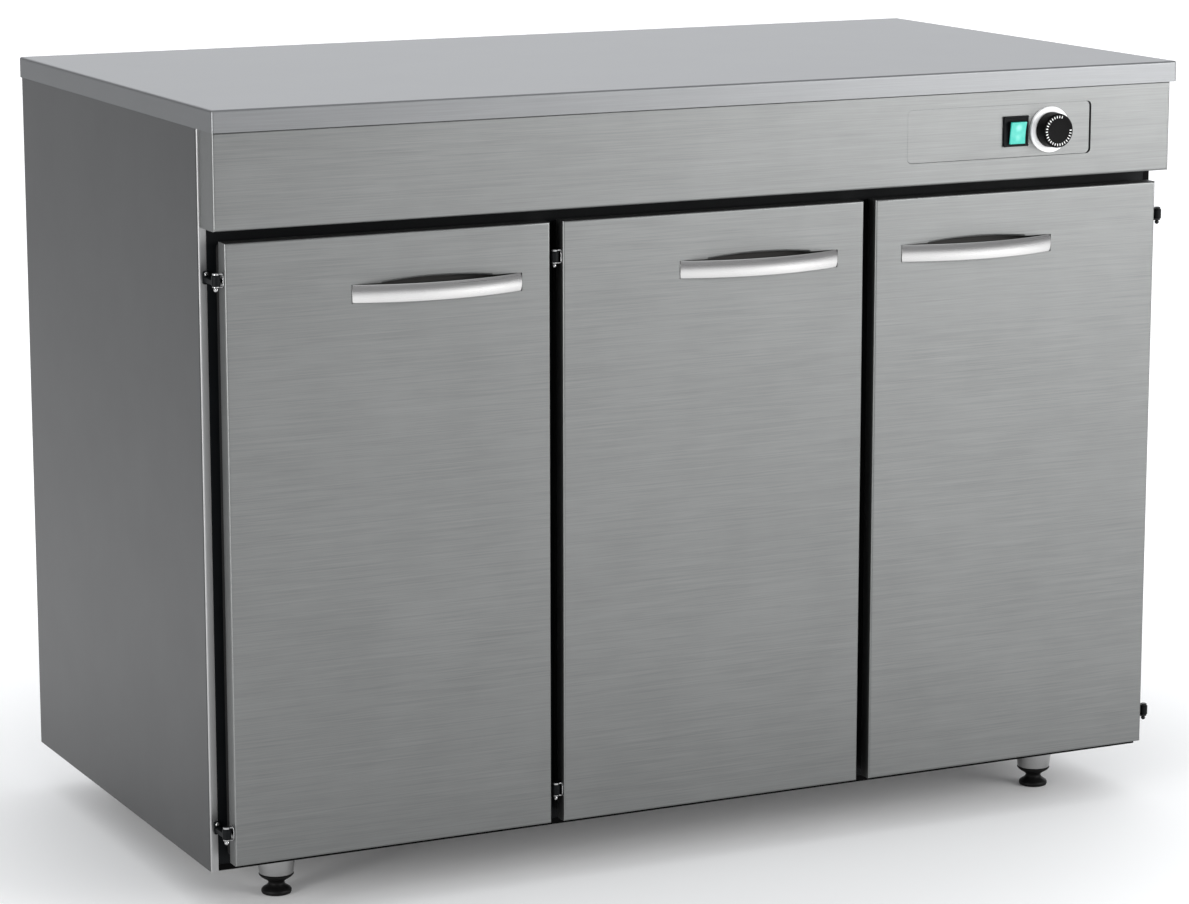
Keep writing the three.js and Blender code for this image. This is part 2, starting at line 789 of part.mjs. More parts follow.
// Thermostat: body behind the plate, threaded bush, capillary through the roof and sensor bulb under it
function thermostat() {
  const front = plateBack + seat;
  const back = front + thermostatDepth;
  const bulbZ = roofFloor - bulbDrop;
  const descent = capillaryY();
  const startZ = controlZ - capillaryDrop;
  const turnY = capillaryBend;
  const bulbY = descent + bulbLead;
  const body = alongY(
    rectangle(
      dialX - thermostatWidth / 2,
      controlZ - thermostatHeight / 2,
      dialX + thermostatWidth / 2,
      controlZ + thermostatHeight / 2,
    ),
    front,
    back,
  );
  const place = (solid) => solid.translate([dialX, 0, controlZ]);
  const bush = place(turnedY([
    [0, plateSink - bezelThickness],
    [bushRadius, plateSink - bezelThickness],
    [bushRadius, front + seat],
    [0, front + seat],
  ]));
  const bore = place(turnedY([
    [0, -knobReach],
    [spindleRadius + spindlePlay, -knobReach],
    [spindleRadius + spindlePlay, front + spindleSink + seat],
    [0, front + spindleSink + seat],
  ]));
  const capillary = tube([
    [dialX, back - sheet, startZ],
    [dialX, descent - 2 * turnY, startZ],
    [dialX, descent - turnY / 2, startZ - turnY / 2],
    [dialX, descent, startZ - 2 * turnY],
    [dialX, descent, roofFloor + roofThickness],
    [dialX, descent, roofFloor],
    [dialX, descent + turnY / 4, bulbZ + turnY / 4],
    [dialX, descent + turnY, bulbZ],
    [dialX, bulbY + bulbRadius, bulbZ],
  ], capillaryRadius, tubeSides, tubeSteps);
  const bulb = turnedY([
    [0, bulbY],
    [bulbRadius, bulbY + bulbRadius],
    [bulbRadius, bulbY + bulbLength - bulbRadius],
    [0, bulbY + bulbLength],
  ]).translate([dialX, 0, bulbZ]);
  const clip = alongZ(
    rectangle(
      dialX - bulbRadius / 2,
      bulbY + bulbLength / 2,
      dialX + bulbRadius / 2,
      bulbY + bulbLength / 2 + clipWidth,
    ),
    bulbZ,
    roofFloor - seat,
  );
  return joined(less(joined(body, bush), bore), capillary, bulb, clip);
}

// Slotted sheet with turned-down front and back lips, standing on a pair of runners
function slottedShelf() {
  const half = bayWidth / 2 - shelfPlay;
  const lipHalf = bayWidth / 2 - runnerReach - shelfPlay;
  const sheetTop = seat + sheet;
  const columnPitch = (2 * half - 2 * shelfBorder) / slotColumns;
  const rowPitch = (shelfDepth - 2 * shelfBorder) / slotRows;
  const slotHalf = (columnPitch - slotBridge) / 2;
  const slots = [];
  for (let column = 0; column < slotColumns; column += 1) {
    const x = -half + shelfBorder + (column + 1 / 2) * columnPitch;
    for (let row = 0; row < slotRows; row += 1) {
      const y = shelfBorder + (row + 1 / 2) * rowPitch;
      const slot = rectangle(x - slotHalf, y - slotWidth / 2, x + slotHalf, y + slotWidth / 2);
      slots.push(alongZ(slot, seat - sheet, sheetTop + sheet));
    }
  }
  const lip = (y) => alongZ(rectangle(-lipHalf, y, lipHalf, y + sheet), seat - shelfLip, sheetTop);
  const top = alongZ(rectangle(-half, 0, half, shelfDepth), seat, sheetTop);
  return less(joined(top, lip(0), lip(shelfDepth - sheet)), ...slots);
}

// Hairpin heating element on a terminal plate at the back wall, with a foot near its bend
function heatingElement() {
  const z = baseThickness + heaterRise;
  const half = heaterSpread / 2;
  const rear = spaceBack - heaterPlate / 2;
  const front = spaceFront + heaterFrontGap;
  const bend = [];
  for (let i = 1; i < 2 * bendSteps; i += 1) {
    const turn = (Math.PI * i) / (2 * bendSteps);
    bend.push([half * Math.cos(turn), front + half - half * Math.sin(turn), z]);
  }
  const legs = [[half, rear, z], [half, (rear + front) / 2, z], [half, front + half, z]];
  const mirrored = legs.map(([x, y, height]) => [-x, y, height]).reverse();
  const element = tube([...legs, ...bend, ...mirrored], heaterRadius, tubeSides, tubeSteps);
  const plateHalf = half + heaterPlateHeight / 2;
  const plate = alongY(
    rectangle(-plateHalf, z - heaterPlateHeight / 2, plateHalf, z + heaterPlateHeight / 2),
    spaceBack - heaterPlate,
    spaceBack,
  );
  const foot = alongZ(
    rectangle(-heaterFoot / 2, front - heaterRadius / 2, heaterFoot / 2, front + heaterRadius / 2),
    baseThickness + seat,
    z,
  );
  return joined(element, plate, foot);
}

// Door pieces in the door's frame: pivot at the origin, bottom at Z 0, opening edge towards +X
const doorEdge = doorGap / 2;
const doorEnd = doorEdge + doorWidth;
const doorFace = -hingeSetback;
const doorBack = doorFace + doorThickness;
const handleTop = doorHeight - handleDrop;
const handleFloor = handleTop - handleHeight;
const handleX = doorEnd - handleEdge - handleLength / 2;

function doorOutline(inset, corner) {
  return roundedRectangle(doorEdge + inset, inset, doorEnd - inset, doorHeight - inset, corner);
}

// Slot in the door's face: straight sides and floor, and a raised middle for the fingers
function handleSlot() {
  const half = handleLength / 2 + handleEndGap;
  const rise = handleLength / 2 - fingerEnd;
  const slot = new THREE.Shape();
  const top = handleTop + seat;
  slot.moveTo(handleX - half, handleFloor - seat);
  slot.lineTo(handleX + half, handleFloor - seat);
  slot.lineTo(handleX + half, top);
  slot.lineTo(handleX + rise, top);
  slot.lineTo(handleX + rise - fingerShoulder, top + fingerRise);
  slot.lineTo(handleX - rise + fingerShoulder, top + fingerRise);
  slot.lineTo(handleX - rise, top);
  slot.lineTo(handleX - half, top);
  return alongY(slot, doorFace - 2 * doorSheet, doorFace + 2 * doorSheet);
}

function doorSkin() {
  return less(
    pressedY(doorOutline(0, faceCorner), doorFace, doorBack, bendRadius),
    alongY(doorOutline(doorSheet, leastRadius), doorFace + doorSheet, doorBack + doorSheet),
    handleSlot(),
  );
}

// Inner panel: lies between the skin's edges, with a hollow plug pressed towards the bay
function doorInner() {
  const plugInset = gasketInset + gasketWidth + bulgeGap;
  const plugBack = doorBack + doorBulge;
  return less(
    joined(
      alongY(doorOutline(doorSheet + seat, faceCorner), doorBack - doorSheet, doorBack),
      alongY(doorOutline(plugInset, bulgeCorner), doorBack - doorSheet, plugBack),
    ),
    alongY(
      doorOutline(plugInset + doorSheet, bulgeCorner - doorSheet),
      doorBack - 2 * doorSheet,
      plugBack - doorSheet,
    ),
  );
}

function doorGasket() {
  const ring = doorOutline(gasketInset, gasketCorner);
  const inside = gasketInset + gasketWidth;
  const hole = roundedRectangle(
    doorEdge + inside,
    inside,
    doorEnd - inside,
    doorHeight - inside,
    gasketCorner,
    new THREE.Path(),
  );
  return rolledY(pierced(ring, hole), doorBack + seat, doorZone - pivotY - seat, gasketRound, 1);
}

// Bow handle: a crowned strip on two end walls of a shallow pocket behind the skin
function bowHandle() {
  const half = handleLength / 2;
  const middle = (handleTop + handleFloor) / 2;
  const section = new THREE.Shape();
  section.moveTo(-handleHeight / 2, 0);
  section.quadraticCurveTo(0, -2 * handleCrown, handleHeight / 2, 0);
  section.lineTo(handleHeight / 2, handleThickness);
  section.quadraticCurveTo(0, handleThickness - 2 * handleCrown, -handleHeight / 2, handleThickness);
  const bow = new THREE.QuadraticBezierCurve3(
    new THREE.Vector3(handleX - half, doorFace, middle),
    new THREE.Vector3(handleX, doorFace - 2 * handleBow, middle),
    new THREE.Vector3(handleX + half, doorFace, middle),
  );
  const strip = solidOf(new THREE.ExtrudeGeometry(section, {
    steps: handleSteps,
    extrudePath: bow,
    bevelEnabled: false,
    curveSegments: 2 * bendSteps,
  }));
  const rim = doorFace + doorSheet + seat;
  const floor = doorBack - doorSheet - pocketClearance;
  const pocketTop = handleTop + fingerRise + 2 * seat;
  const pocketBox = (inset, y0, y1) => alongY(
    rectangle(handleX - half + inset, handleFloor + inset, handleX + half - inset, pocketTop - inset),
    y0,
    y1,
  );
  const flange = alongY(
    rectangle(
      handleX - half - pocketFlange,
      handleFloor - pocketFlange,
      handleX + half + pocketFlange,
      pocketTop + pocketFlange,
    ),
    rim,
    rim + doorSheet,
  );
  const ends = [-1, 1].map((side) => alongY(
    rectangle(
      handleX + side * (half - doorSheet) - doorSheet,
      handleFloor,
      handleX + side * (half - doorSheet) + doorSheet,
      handleTop,
    ),
    doorFace + handleThickness / 2,
    rim + doorSheet,
  ));
  const pocket = less(
    joined(flange, pocketBox(0, rim, floor)),
    pocketBox(2 * doorSheet, rim - doorSheet, floor - doorSheet),
  );
  return joined(strip, pocket, ...ends);
}

// Hinge pieces about the pivot, centred on the eye, with the door towards +X
function hingeArm() {
  const plateBackY = doorZone - pivotY - seat;
  const eye = alongZ(
    pierced(disc(0, 0, eyeRadius, smallSides), disc(0, 0, pinRadius + pinPlay, smallSides)),
    -eyeHeight / 2,
    eyeHeight / 2,
  );
  const arm = alongZ(
    rectangle(-armWidth / 2, pinRadius + 2 * pinPlay, armWidth / 2, plateBackY - armPlate / 2),
    -eyeHeight / 2,
    eyeHeight / 2,
  );
  const plate = alongY(
    roundedRectangle(
      -armPlateWidth / 2,
      -armPlateHeight / 2,
      armPlateWidth / 2,
      armPlateHeight / 2,
      armCorner,
    ),
    plateBackY - armPlate,
    plateBackY,
  );
  return joined(eye, arm, plate);
}

function hingeFork() {
  const plateFar = doorEdge - seat;
  const plateNear = plateFar - forkPlate;
  const lugBase = eyeHeight / 2 + lugGap;
  const lug = (z0, z1) => joined(
    alongZ(disc(0, 0, lugRadius, smallSides), z0, z1),
    alongZ(rectangle(0, -lugRadius, plateFar - forkPlate / 2, lugRadius), z0, z1),
  );
  const plate = alongX(
    roundedRectangle(
      -forkPlateDepth / 2,
      -lugBase - lowerLug - forkPlateMargin,
      forkPlateDepth / 2,
      lugBase + upperLug + forkPlateMargin,
      forkCorner,
    ),
    plateNear,
    plateFar,
  );
  const foot = -lugBase - lowerLug;
  const pin = turnedZ([
    [0, foot - pinDome],
    ...roundedEdge(pinHead - pinRound, foot - pinDome + pinRound, pinRound, -90, 0),
    [pinHead, foot + lowerLug / 2],
    [pinRadius, foot + lowerLug / 2],
    [pinRadius, lugBase + upperLug / 2],
    [0, lugBase + upperLug / 2],
  ], smallSides);
  return joined(lug(lugBase, lugBase + upperLug), lug(foot, -lugBase), plate, pin);
}

// Foot socket under the base and screw foot inside it, about the foot's axis, base underside at Z 0
function footSocket() {
  const top = -seat;
  return turnedZ([
    [0, top - sheet],
    [socketBore, top - sheet],
    [socketBore, -socketHeight],
    [socketRadius, -socketHeight],
    [socketRadius - socketTaper, top],
    [0, top],
  ], footSides);
}

function levellingFoot() {
  const skirt = -socketHeight - seat;
  const stemTop = -seat - sheet - stemHeadroom;
  const padTop = -footHeight + padHeight;
  return turnedZ([
    [0, -footHeight],
    ...roundedEdge(padRadius - padRound, -footHeight + padRound, padRound, -90, 0),
    [padRadius, padTop - padSlope],
    [neckRadius, padTop + padSlope],
    [neckRadius, skirt - 2 * skirtHeight],
    [socketRadius - socketTaper, skirt - skirtHeight],
    [socketRadius - socketTaper, skirt],
    [stemRadius, skirt],
    [stemRadius, stemTop],
    [0, stemTop],
  ], footSides);
}

// Finishes
const finishes = {
  steel: { color: 0xa9abab, roughness: 0.38, metalness: 1 },
  darkSteel: { color: 0x8c9092, roughness: 0.4, metalness: 1 },
  chrome: { color: 0xd6d8d8, roughness: 0.12, metalness: 1 },
  blackPlastic: { color: 0x121213, roughness: 0.45, metalness: 0 },
  blackRubber: { color: 0x0b0b0c, roughness: 0.7, metalness: 0 },
  whitePlastic: { color: 0xf1f1ee, roughness: 0.35, metalness: 0 },
  litGreen: { color: 0x3fcbb4, roughness: 0.25, metalness: 0 },
  heaterSteel: { color: 0x5d5a55, roughness: 0.55, metalness: 1 },
};

function addPiece(group, name, geometry, finish, position = [0, 0, 0]) {
  const mesh = new THREE.Mesh(geometry, new THREE.MeshStandardMaterial(finishes[finish]));
  mesh.name = name;
  mesh.position.set(...position);
  group.add(mesh);
  return mesh;
}

// Assembly
const part = new THREE.Group();
const cabinet = new THREE.Group();
cabinet.position.set(0, knobReach - overallDepth / 2, footHeight);
part.add(cabinet);

addPiece(cabinet, 'worktop', geometryOf(worktop()), 'steel');
addPiece(cabinet, 'base_panel', geometryOf(basePanel()), 'steel');
addPiece(cabinet, 'back_panel', geometryOf(backPanel()), 'steel');
addPiece(cabinet, 'liner_roof', geometryOf(linerRoof()), 'steel');
addPiece(cabinet, 'front_frame', geometryOf(frontFrame()), 'blackPlastic');
addPiece(cabinet, 'front_apron', geometryOf(frontApron()), 'steel');
addPiece(cabinet, 'control_plate', geometryOf(controlPlate()), 'steel');
addPiece(cabinet, 'cable_gland', geometryOf(cableGland()), 'blackPlastic', [inletX(), 0, controlZ]);

const sideGeometry = geometryOf(sidePanel());
addPiece(cabinet, 'side_panel_right', sideGeometry, 'darkSteel');
addPiece(cabinet, 'side_panel_left', sideGeometry, 'darkSteel').scale.x = -1;

const partitionGeometry = geometryOf(partition());
addPiece(cabinet, 'partition_left', partitionGeometry, 'steel', [-bayPitch / 2, 0, 0]);
addPiece(cabinet, 'partition_right', partitionGeometry, 'steel', [bayPitch / 2, 0, 0]);

// Switch and dial
addPiece(cabinet, 'switch_housing', geometryOf(switchHousing()), 'blackPlastic');
const rockerPlace = [switchX, rockerPivot, controlZ];
const rockerMesh = addPiece(cabinet, 'switch_rocker', geometryOf(rocker()), 'litGreen', rockerPlace);
rockerMesh.rotation.x = THREE.MathUtils.degToRad(rockerTilt);
addPiece(cabinet, 'thermostat', geometryOf(thermostat()), 'blackPlastic');
const dial = new THREE.Group();
dial.position.set(dialX, 0, controlZ);
cabinet.add(dial);
addPiece(dial, 'dial_bezel', geometryOf(dialBezel()), 'whitePlastic');
addPiece(dial, 'thermostat_knob', geometryOf(thermostatKnob()), 'blackPlastic');
addPiece(dial, 'thermostat_spindle', geometryOf(thermostatSpindle()), 'chrome');

// Fittings of the three bays
const shelfGeometry = geometryOf(slottedShelf());
const heaterGeometry = geometryOf(heatingElement());
['left', 'middle', 'right'].forEach((place, index) => {
  const x = (index - 1) * bayPitch;
  const onRunner = (level) => [x, spaceFront + shelfFrontGap, runnerFirst + level * runnerPitch];
  addPiece(cabinet, `shelf_${place}`, shelfGeometry, 'steel', onRunner(shelfLevel));
  addPiece(cabinet, `heater_guard_${place}`, shelfGeometry, 'steel', onRunner(guardLevel));
  addPiece(cabinet, `heater_${place}`, heaterGeometry, 'heaterSteel', [x, 0, 0]);
});

// Doors with their hinges; the right door is the mirror image of the other two
const skinGeometry = geometryOf(doorSkin());
const innerGeometry = geometryOf(doorInner());
const gasketGeometry = geometryOf(doorGasket());
const handleGeometry = geometryOf(bowHandle());
const armGeometry = geometryOf(hingeArm());
const forkGeometry = geometryOf(hingeFork());
const hingeHeights = { lower: hingeFloorInset, upper: doorHeight - hingeTopInset };
const doorPlaces = [
  { place: 'left', pivotX: -1.5 * bayPitch, mirror: 1 },
  { place: 'middle', pivotX: -bayPitch / 2, mirror: 1 },
  { place: 'right', pivotX: 1.5 * bayPitch, mirror: -1 },
];
for (const { place, pivotX, mirror } of doorPlaces) {
  const door = new THREE.Group();
  door.position.set(pivotX, pivotY, doorFloorGap);
  door.scale.x = mirror;
  cabinet.add(door);
  addPiece(door, `door_skin_${place}`, skinGeometry, 'steel');
  addPiece(door, `door_inner_${place}`, innerGeometry, 'steel');
  addPiece(door, `door_gasket_${place}`, gasketGeometry, 'blackRubber');
  addPiece(door, `door_handle_${place}`, handleGeometry, 'chrome');
  for (const [level, z] of Object.entries(hingeHeights)) {
    addPiece(door, `hinge_arm_${place}_${level}`, armGeometry, 'blackPlastic', [0, 0, z]);
    addPiece(door, `hinge_fork_${place}_${level}`, forkGeometry, 'chrome', [0, 0, z]);
  }
}

// Feet
const socketGeometry = geometryOf(footSocket());
const footGeometry = geometryOf(levellingFoot());
for (const [depthName, y] of [['front', footFrontY], ['rear', footBackY]]) {
  for (const [sideName, x] of [['left', -footX], ['right', footX]]) {
    addPiece(cabinet, `foot_socket_${depthName}_${sideName}`, socketGeometry, 'chrome', [x, y, 0]);
    addPiece(cabinet, `levelling_foot_${depthName}_${sideName}`, footGeometry, 'blackPlastic', [x, y, 0]);
  }
}

export default part;
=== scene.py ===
import json
import math

import bmesh
import bpy
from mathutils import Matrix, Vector


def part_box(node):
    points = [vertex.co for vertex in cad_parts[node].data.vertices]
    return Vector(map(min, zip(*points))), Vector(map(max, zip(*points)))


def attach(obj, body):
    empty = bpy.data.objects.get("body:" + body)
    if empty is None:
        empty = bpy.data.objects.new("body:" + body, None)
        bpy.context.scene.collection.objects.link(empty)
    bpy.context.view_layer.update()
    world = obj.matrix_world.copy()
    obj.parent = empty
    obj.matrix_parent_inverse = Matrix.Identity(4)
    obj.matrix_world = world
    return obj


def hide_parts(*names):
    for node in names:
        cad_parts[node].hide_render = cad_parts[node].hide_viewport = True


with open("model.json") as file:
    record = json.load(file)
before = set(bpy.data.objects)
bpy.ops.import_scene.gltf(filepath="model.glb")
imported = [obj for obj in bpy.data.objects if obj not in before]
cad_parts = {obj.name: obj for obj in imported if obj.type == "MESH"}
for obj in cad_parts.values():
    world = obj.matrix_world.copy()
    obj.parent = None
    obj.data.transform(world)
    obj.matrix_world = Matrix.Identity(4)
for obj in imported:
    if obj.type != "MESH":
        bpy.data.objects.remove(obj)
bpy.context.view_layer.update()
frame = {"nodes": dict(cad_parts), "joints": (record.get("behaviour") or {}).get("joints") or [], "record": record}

mm = 0.001
doorNames = ("left", "middle", "right")
hingeLevels = ("lower", "upper")
footNames = ("front_left", "front_right", "rear_left", "rear_right")


# Selecting in edit mode
pickLook = {"slack": 0.05 * mm, "facing": 0.9, "corner": 1.0, "weld": 0.005 * mm}


def clearSelection():
    if bpy.context.mode != "OBJECT":
        bpy.ops.object.mode_set(mode="OBJECT")
    bpy.ops.object.select_all(action="DESELECT")


def makeActive(piece):
    clearSelection()
    piece.select_set(True)
    bpy.context.view_layer.objects.active = piece


def beginEdit(piece):
    makeActive(piece)
    bpy.ops.object.mode_set(mode="EDIT")


def endEdit():
    bpy.ops.object.mode_set(mode="OBJECT")


def pickWhere(kind, test):
    mesh = bpy.context.edit_object.data
    bpy.ops.mesh.select_mode(type=kind)
    bpy.ops.mesh.select_all(action="DESELECT")
    cage = bmesh.from_edit_mesh(mesh)
    for item in {"VERT": cage.verts, "EDGE": cage.edges, "FACE": cage.faces}[kind]:
        item.select_set(bool(test(item)))
    bmesh.update_edit_mesh(mesh)


def pickFaces(test):
    pickWhere("FACE", lambda face: test(face.calc_center_median(), face.normal))


def pickEdges(test):
    pickWhere("EDGE", lambda edge: test(edge.verts[0].co, edge.verts[1].co))


def pickPoints(test):
    pickWhere("VERT", lambda point: test(point.co))


# Edges where two faces meet at a clear angle
def pickCorners(test):
    pickWhere("EDGE", lambda edge: edge.is_manifold and
              edge.calc_face_angle() > pickLook["corner"] and
              test(edge.verts[0].co, edge.verts[1].co))


def pickAll():
    bpy.ops.mesh.select_all(action="SELECT")


def near(a, b):
    return abs(a - b) < pickLook["slack"]


def looksFront(normal):
    return normal.y < -pickLook["facing"]


def pickBack():
    pickFaces(lambda middle, normal: normal.y > pickLook["facing"])


# Edges that lie at one depth, and edges that run along one axis
def pickAtDepth(y):
    pickEdges(lambda a, b: near(a.y, y) and near(b.y, y))


def pickAlong(axis):
    pickEdges(lambda a, b: abs(a["xyz".index(axis)] - b["xyz".index(axis)]) > mm / 2)


# Shaping in edit mode
def cut(point, normal):
    pickAll()
    bpy.ops.mesh.bisect(plane_co=point, plane_no=normal)


def push(x=0.0, y=0.0, z=0.0):
    bpy.ops.mesh.extrude_region_move(TRANSFORM_OT_translate={"value": (x, y, z)})


def insetPicked(thickness):
    bpy.ops.mesh.inset(thickness=thickness, depth=0)


def roundPicked(radius, segments):
    bpy.ops.mesh.bevel(offset=radius, segments=segments, affect="EDGES", profile=0.5)


# The guess at what is outside can tip either way from run to run, so the volume decides
def faceOut():
    pickAll()
    cage = bmesh.from_edit_mesh(bpy.context.edit_object.data)
    if cage.calc_volume(signed=True) < 0:
        bpy.ops.mesh.flip_normals()


def finishEdit():
    pickAll()
    bpy.ops.mesh.remove_doubles(threshold=pickLook["weld"])
    pickAll()
    bpy.ops.mesh.normals_make_consistent(inside=False)
    faceOut()
    endEdit()


def setHome(piece):
    makeActive(piece)
    bpy.ops.object.transform_apply(location=True, rotation=True, scale=True)


def applyModifier(piece, kind, **settings):
    makeActive(piece)
    modifier = piece.modifiers.new(kind.lower(), kind)
    for key, value in settings.items():
        setattr(modifier, key, value)
    bpy.ops.object.modifier_apply(modifier=modifier.name)


def block(name, low, high):
    clearSelection()
    low, high = Vector(low), Vector(high)
    bpy.ops.mesh.primitive_cube_add(size=1, location=(low + high) / 2, scale=high - low)
    piece = bpy.context.active_object
    piece.name = name
    setHome(piece)
    return piece


# A turned piece: rings of radius and height stacked from the first to the last
def turned(name, rings, sides):
    clearSelection()
    radius, height = rings[0]
    bpy.ops.mesh.primitive_circle_add(vertices=sides, radius=radius, fill_type="NGON",
                                      location=(0, 0, height))
    piece = bpy.context.active_object
    piece.name = name
    setHome(piece)
    beginEdit(piece)
    pickAll()
    for nextRadius, nextHeight in rings[1:]:
        push(z=nextHeight - height)
        ratio = nextRadius / radius
        bpy.ops.transform.resize(value=(ratio, ratio, 1), center_override=(0, 0, nextHeight))
        radius, height = nextRadius, nextHeight
    finishEdit()
    return piece


# Rings of a quarter round, from upright to level
def quarterRound(radius, height, edge, steps=5):
    turns = [math.pi / 2 * step / steps for step in range(1, steps + 1)]
    return [(radius + edge * math.cos(turn), height + edge * math.sin(turn)) for turn in turns]


def place(piece, spot, turn=(0, 0, 0)):
    piece.location = spot
    piece.rotation_euler = turn
    setHome(piece)


def twin(piece, name, shift=(0, 0, 0), mirrorAt=None):
    copy = piece.copy()
    copy.data = piece.data.copy()
    copy.name = name
    bpy.context.scene.collection.objects.link(copy)
    if mirrorAt is None:
        place(copy, shift)
        return copy
    copy.scale.x = -1
    copy.location.x = 2 * mirrorAt
    setHome(copy)
    beginEdit(copy)
    faceOut()
    endEdit()
    return copy


def drop(*models):
    for model in models:
        bpy.data.objects.remove(model)


def weldTogether(pieces, name):
    makeActive(pieces[0])
    for piece in pieces:
        piece.select_set(True)
    bpy.ops.object.join()
    whole = bpy.context.active_object
    whole.name = name
    return whole


def settle(piece, body, slot, finish, *hidden, angle=32):
    makeActive(piece)
    bpy.ops.object.shade_smooth_by_angle(angle=math.radians(angle))
    applyModifier(piece, "WEIGHTED_NORMAL", mode="FACE_AREA", weight=100, keep_sharp=True)
    piece.data.materials.clear()
    piece.data.materials.append(finish)
    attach(piece, body)
    if hidden:
        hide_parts(*hidden)


def sizes(name):
    low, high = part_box(name)
    return Vector(low), Vector(high)


def pivotOf(body):
    return Vector(next(item for item in frame["joints"] if item["child"] == body)["pos_m"])


# Shader maths: a socket that adds nodes as it is used
class Strand:
    def __init__(self, tree, socket=None):
        self.tree = tree
        self.socket = socket

    def add(self, kind, settings, inputs, output=0):
        item = self.tree.nodes.new(kind)
        for key, value in settings.items():
            setattr(item, key, value)
        for key, value in inputs.items():
            target = item.inputs[key]
            if isinstance(value, Strand):
                self.tree.links.new(value.socket, target)
            else:
                target.default_value = value
        return Strand(self.tree, item.outputs[output])

    def combine(self, operation, first, second):
        return self.add("ShaderNodeMath", {"operation": operation}, {0: first, 1: second})

    def __add__(self, other):
        return self.combine("ADD", self, other)

    __radd__ = __add__

    def __mul__(self, other):
        return self.combine("MULTIPLY", self, other)

    __rmul__ = __mul__


def beginFinish(name):
    finish = bpy.data.materials.new(name)
    finish.use_nodes = True
    tree = finish.node_tree
    return finish, tree.nodes["Principled BSDF"], Strand(tree)


def lead(strand, shader, socket):
    strand.tree.links.new(strand.socket, shader.inputs[socket])


def onPiece(maker):
    return maker.add("ShaderNodeTexCoord", {}, {}, "Object")


def partOf(maker, vector, axis):
    return maker.add("ShaderNodeSeparateXYZ", {}, {"Vector": vector}, axis)


# Noise with so many cells to a metre on each axis
def grainOf(maker, cells, detail=2.0, roughness=0.5):
    spot = maker.add("ShaderNodeMapping", {}, {"Vector": onPiece(maker), "Scale": cells})
    return maker.add("ShaderNodeTexNoise", {}, {"Vector": spot, "Scale": 1.0, "Detail": detail,
                                                "Roughness": roughness})


def evenGrain(maker, cells, detail=2.0, roughness=0.5):
    return grainOf(maker, (cells, cells, cells), detail, roughness)


def rangeOf(maker, value, low, high, kind="LINEAR"):
    return maker.add("ShaderNodeMapRange", {"interpolation_type": kind},
                     {"Value": value, "From Min": low, "From Max": high})


# Setting a Mix node's colour sockets by name meets the float ones first, so they go by place
def blendColour(maker, share, low, high):
    return maker.add("ShaderNodeMix", {"data_type": "RGBA"}, {0: share, 6: low, 7: high}, 2)


def bumpOf(maker, height, distance, strength):
    return maker.add("ShaderNodeBump", {}, {"Height": height, "Distance": distance,
                                            "Strength": strength})


def shade(value, warm=0.0, green=0.0):
    return (value * (1 + warm - green), value, value * (1 - warm - green / 2), 1.0)


# Brushed sheet: fine grain one way, wider streaks and a faint cloud
brushed = {
    "along": 16.0,  # grain cells to a metre along the brushing
    "across": 1500.0,  # and across it
    "streakAlong": 9.0,
    "streakAcross": 860.0,
    "detail": 3.0,
    "cloud": 11.0,
    "cloudDetail": 4.0,
    "cloudRoughness": 0.6,
    "grainShare": 0.45,
    "from": 0.3,
    "to": 0.7,
    "streakRough": 0.05,
    "grainRough": 0.06,
    "depth": 0.06 * mm,
    "bump": 0.25,
    "frontBlend": 0.2 * mm,
}


def brushedSteel(name, grainAxis, dark, light, roughness, cloudShare=0.3, front=None):
    finish, shader, maker = beginFinish(name)
    fine = [brushed["across"]] * 3
    streak = [brushed["streakAcross"]] * 3
    fine["xyz".index(grainAxis)] = brushed["along"]
    streak["xyz".index(grainAxis)] = brushed["streakAlong"]
    grain = grainOf(maker, fine, brushed["detail"])
    bands = grainOf(maker, streak, brushed["detail"])
    cloud = evenGrain(maker, brushed["cloud"], brushed["cloudDetail"], brushed["cloudRoughness"])
    share = (grain * brushed["grainShare"] + bands * (1 - brushed["grainShare"] - cloudShare / 2) +
             cloud * (cloudShare / 2))
    lifted = rangeOf(maker, share, brushed["from"], brushed["to"])
    colour = blendColour(maker, lifted, dark, light)
    # The front edge's tone is painted: painted light on the left side panel's flange, painted shade on the right
    # one's and on the base's edge
    if front is not None:  # a front edge of another tone
        until, edgeLightOrShade = front
        behind = rangeOf(maker, partOf(maker, onPiece(maker), "Y"), until,
                         until + brushed["frontBlend"])
        colour = blendColour(maker, behind, edgeLightOrShade, colour)
    middle = roughness - (brushed["streakRough"] + brushed["grainRough"]) / 2
    uneven = bands * brushed["streakRough"] + grain * brushed["grainRough"]
    lead(colour, shader, "Base Color")
    lead(uneven + middle, shader, "Roughness")
    lead(bumpOf(maker, grain, brushed["depth"], brushed["bump"]), shader, "Normal")
    shader.inputs["Metallic"].default_value = 1.0
    return finish


# Bright plated or polished metal with faint wipe marks
wiped = {"marks": (12, 12, 900), "cloud": 25, "cloudDetail": 3.0, "rough": 0.05}


def polished(name, dark, light, roughness):
    finish, shader, maker = beginFinish(name)
    marks = grainOf(maker, wiped["marks"])
    cloud = evenGrain(maker, wiped["cloud"], wiped["cloudDetail"])
    lead(blendColour(maker, cloud, dark, light), shader, "Base Color")
    lead(marks * wiped["rough"] + (roughness - wiped["rough"] / 2), shader, "Roughness")
    shader.inputs["Metallic"].default_value = 1.0
    return finish


# Moulded plastic or rubber: fine stipple and uneven sheen
stippled = {"cloud": 35, "cloudDetail": 4.0, "rough": 0.16, "strength": 0.3}


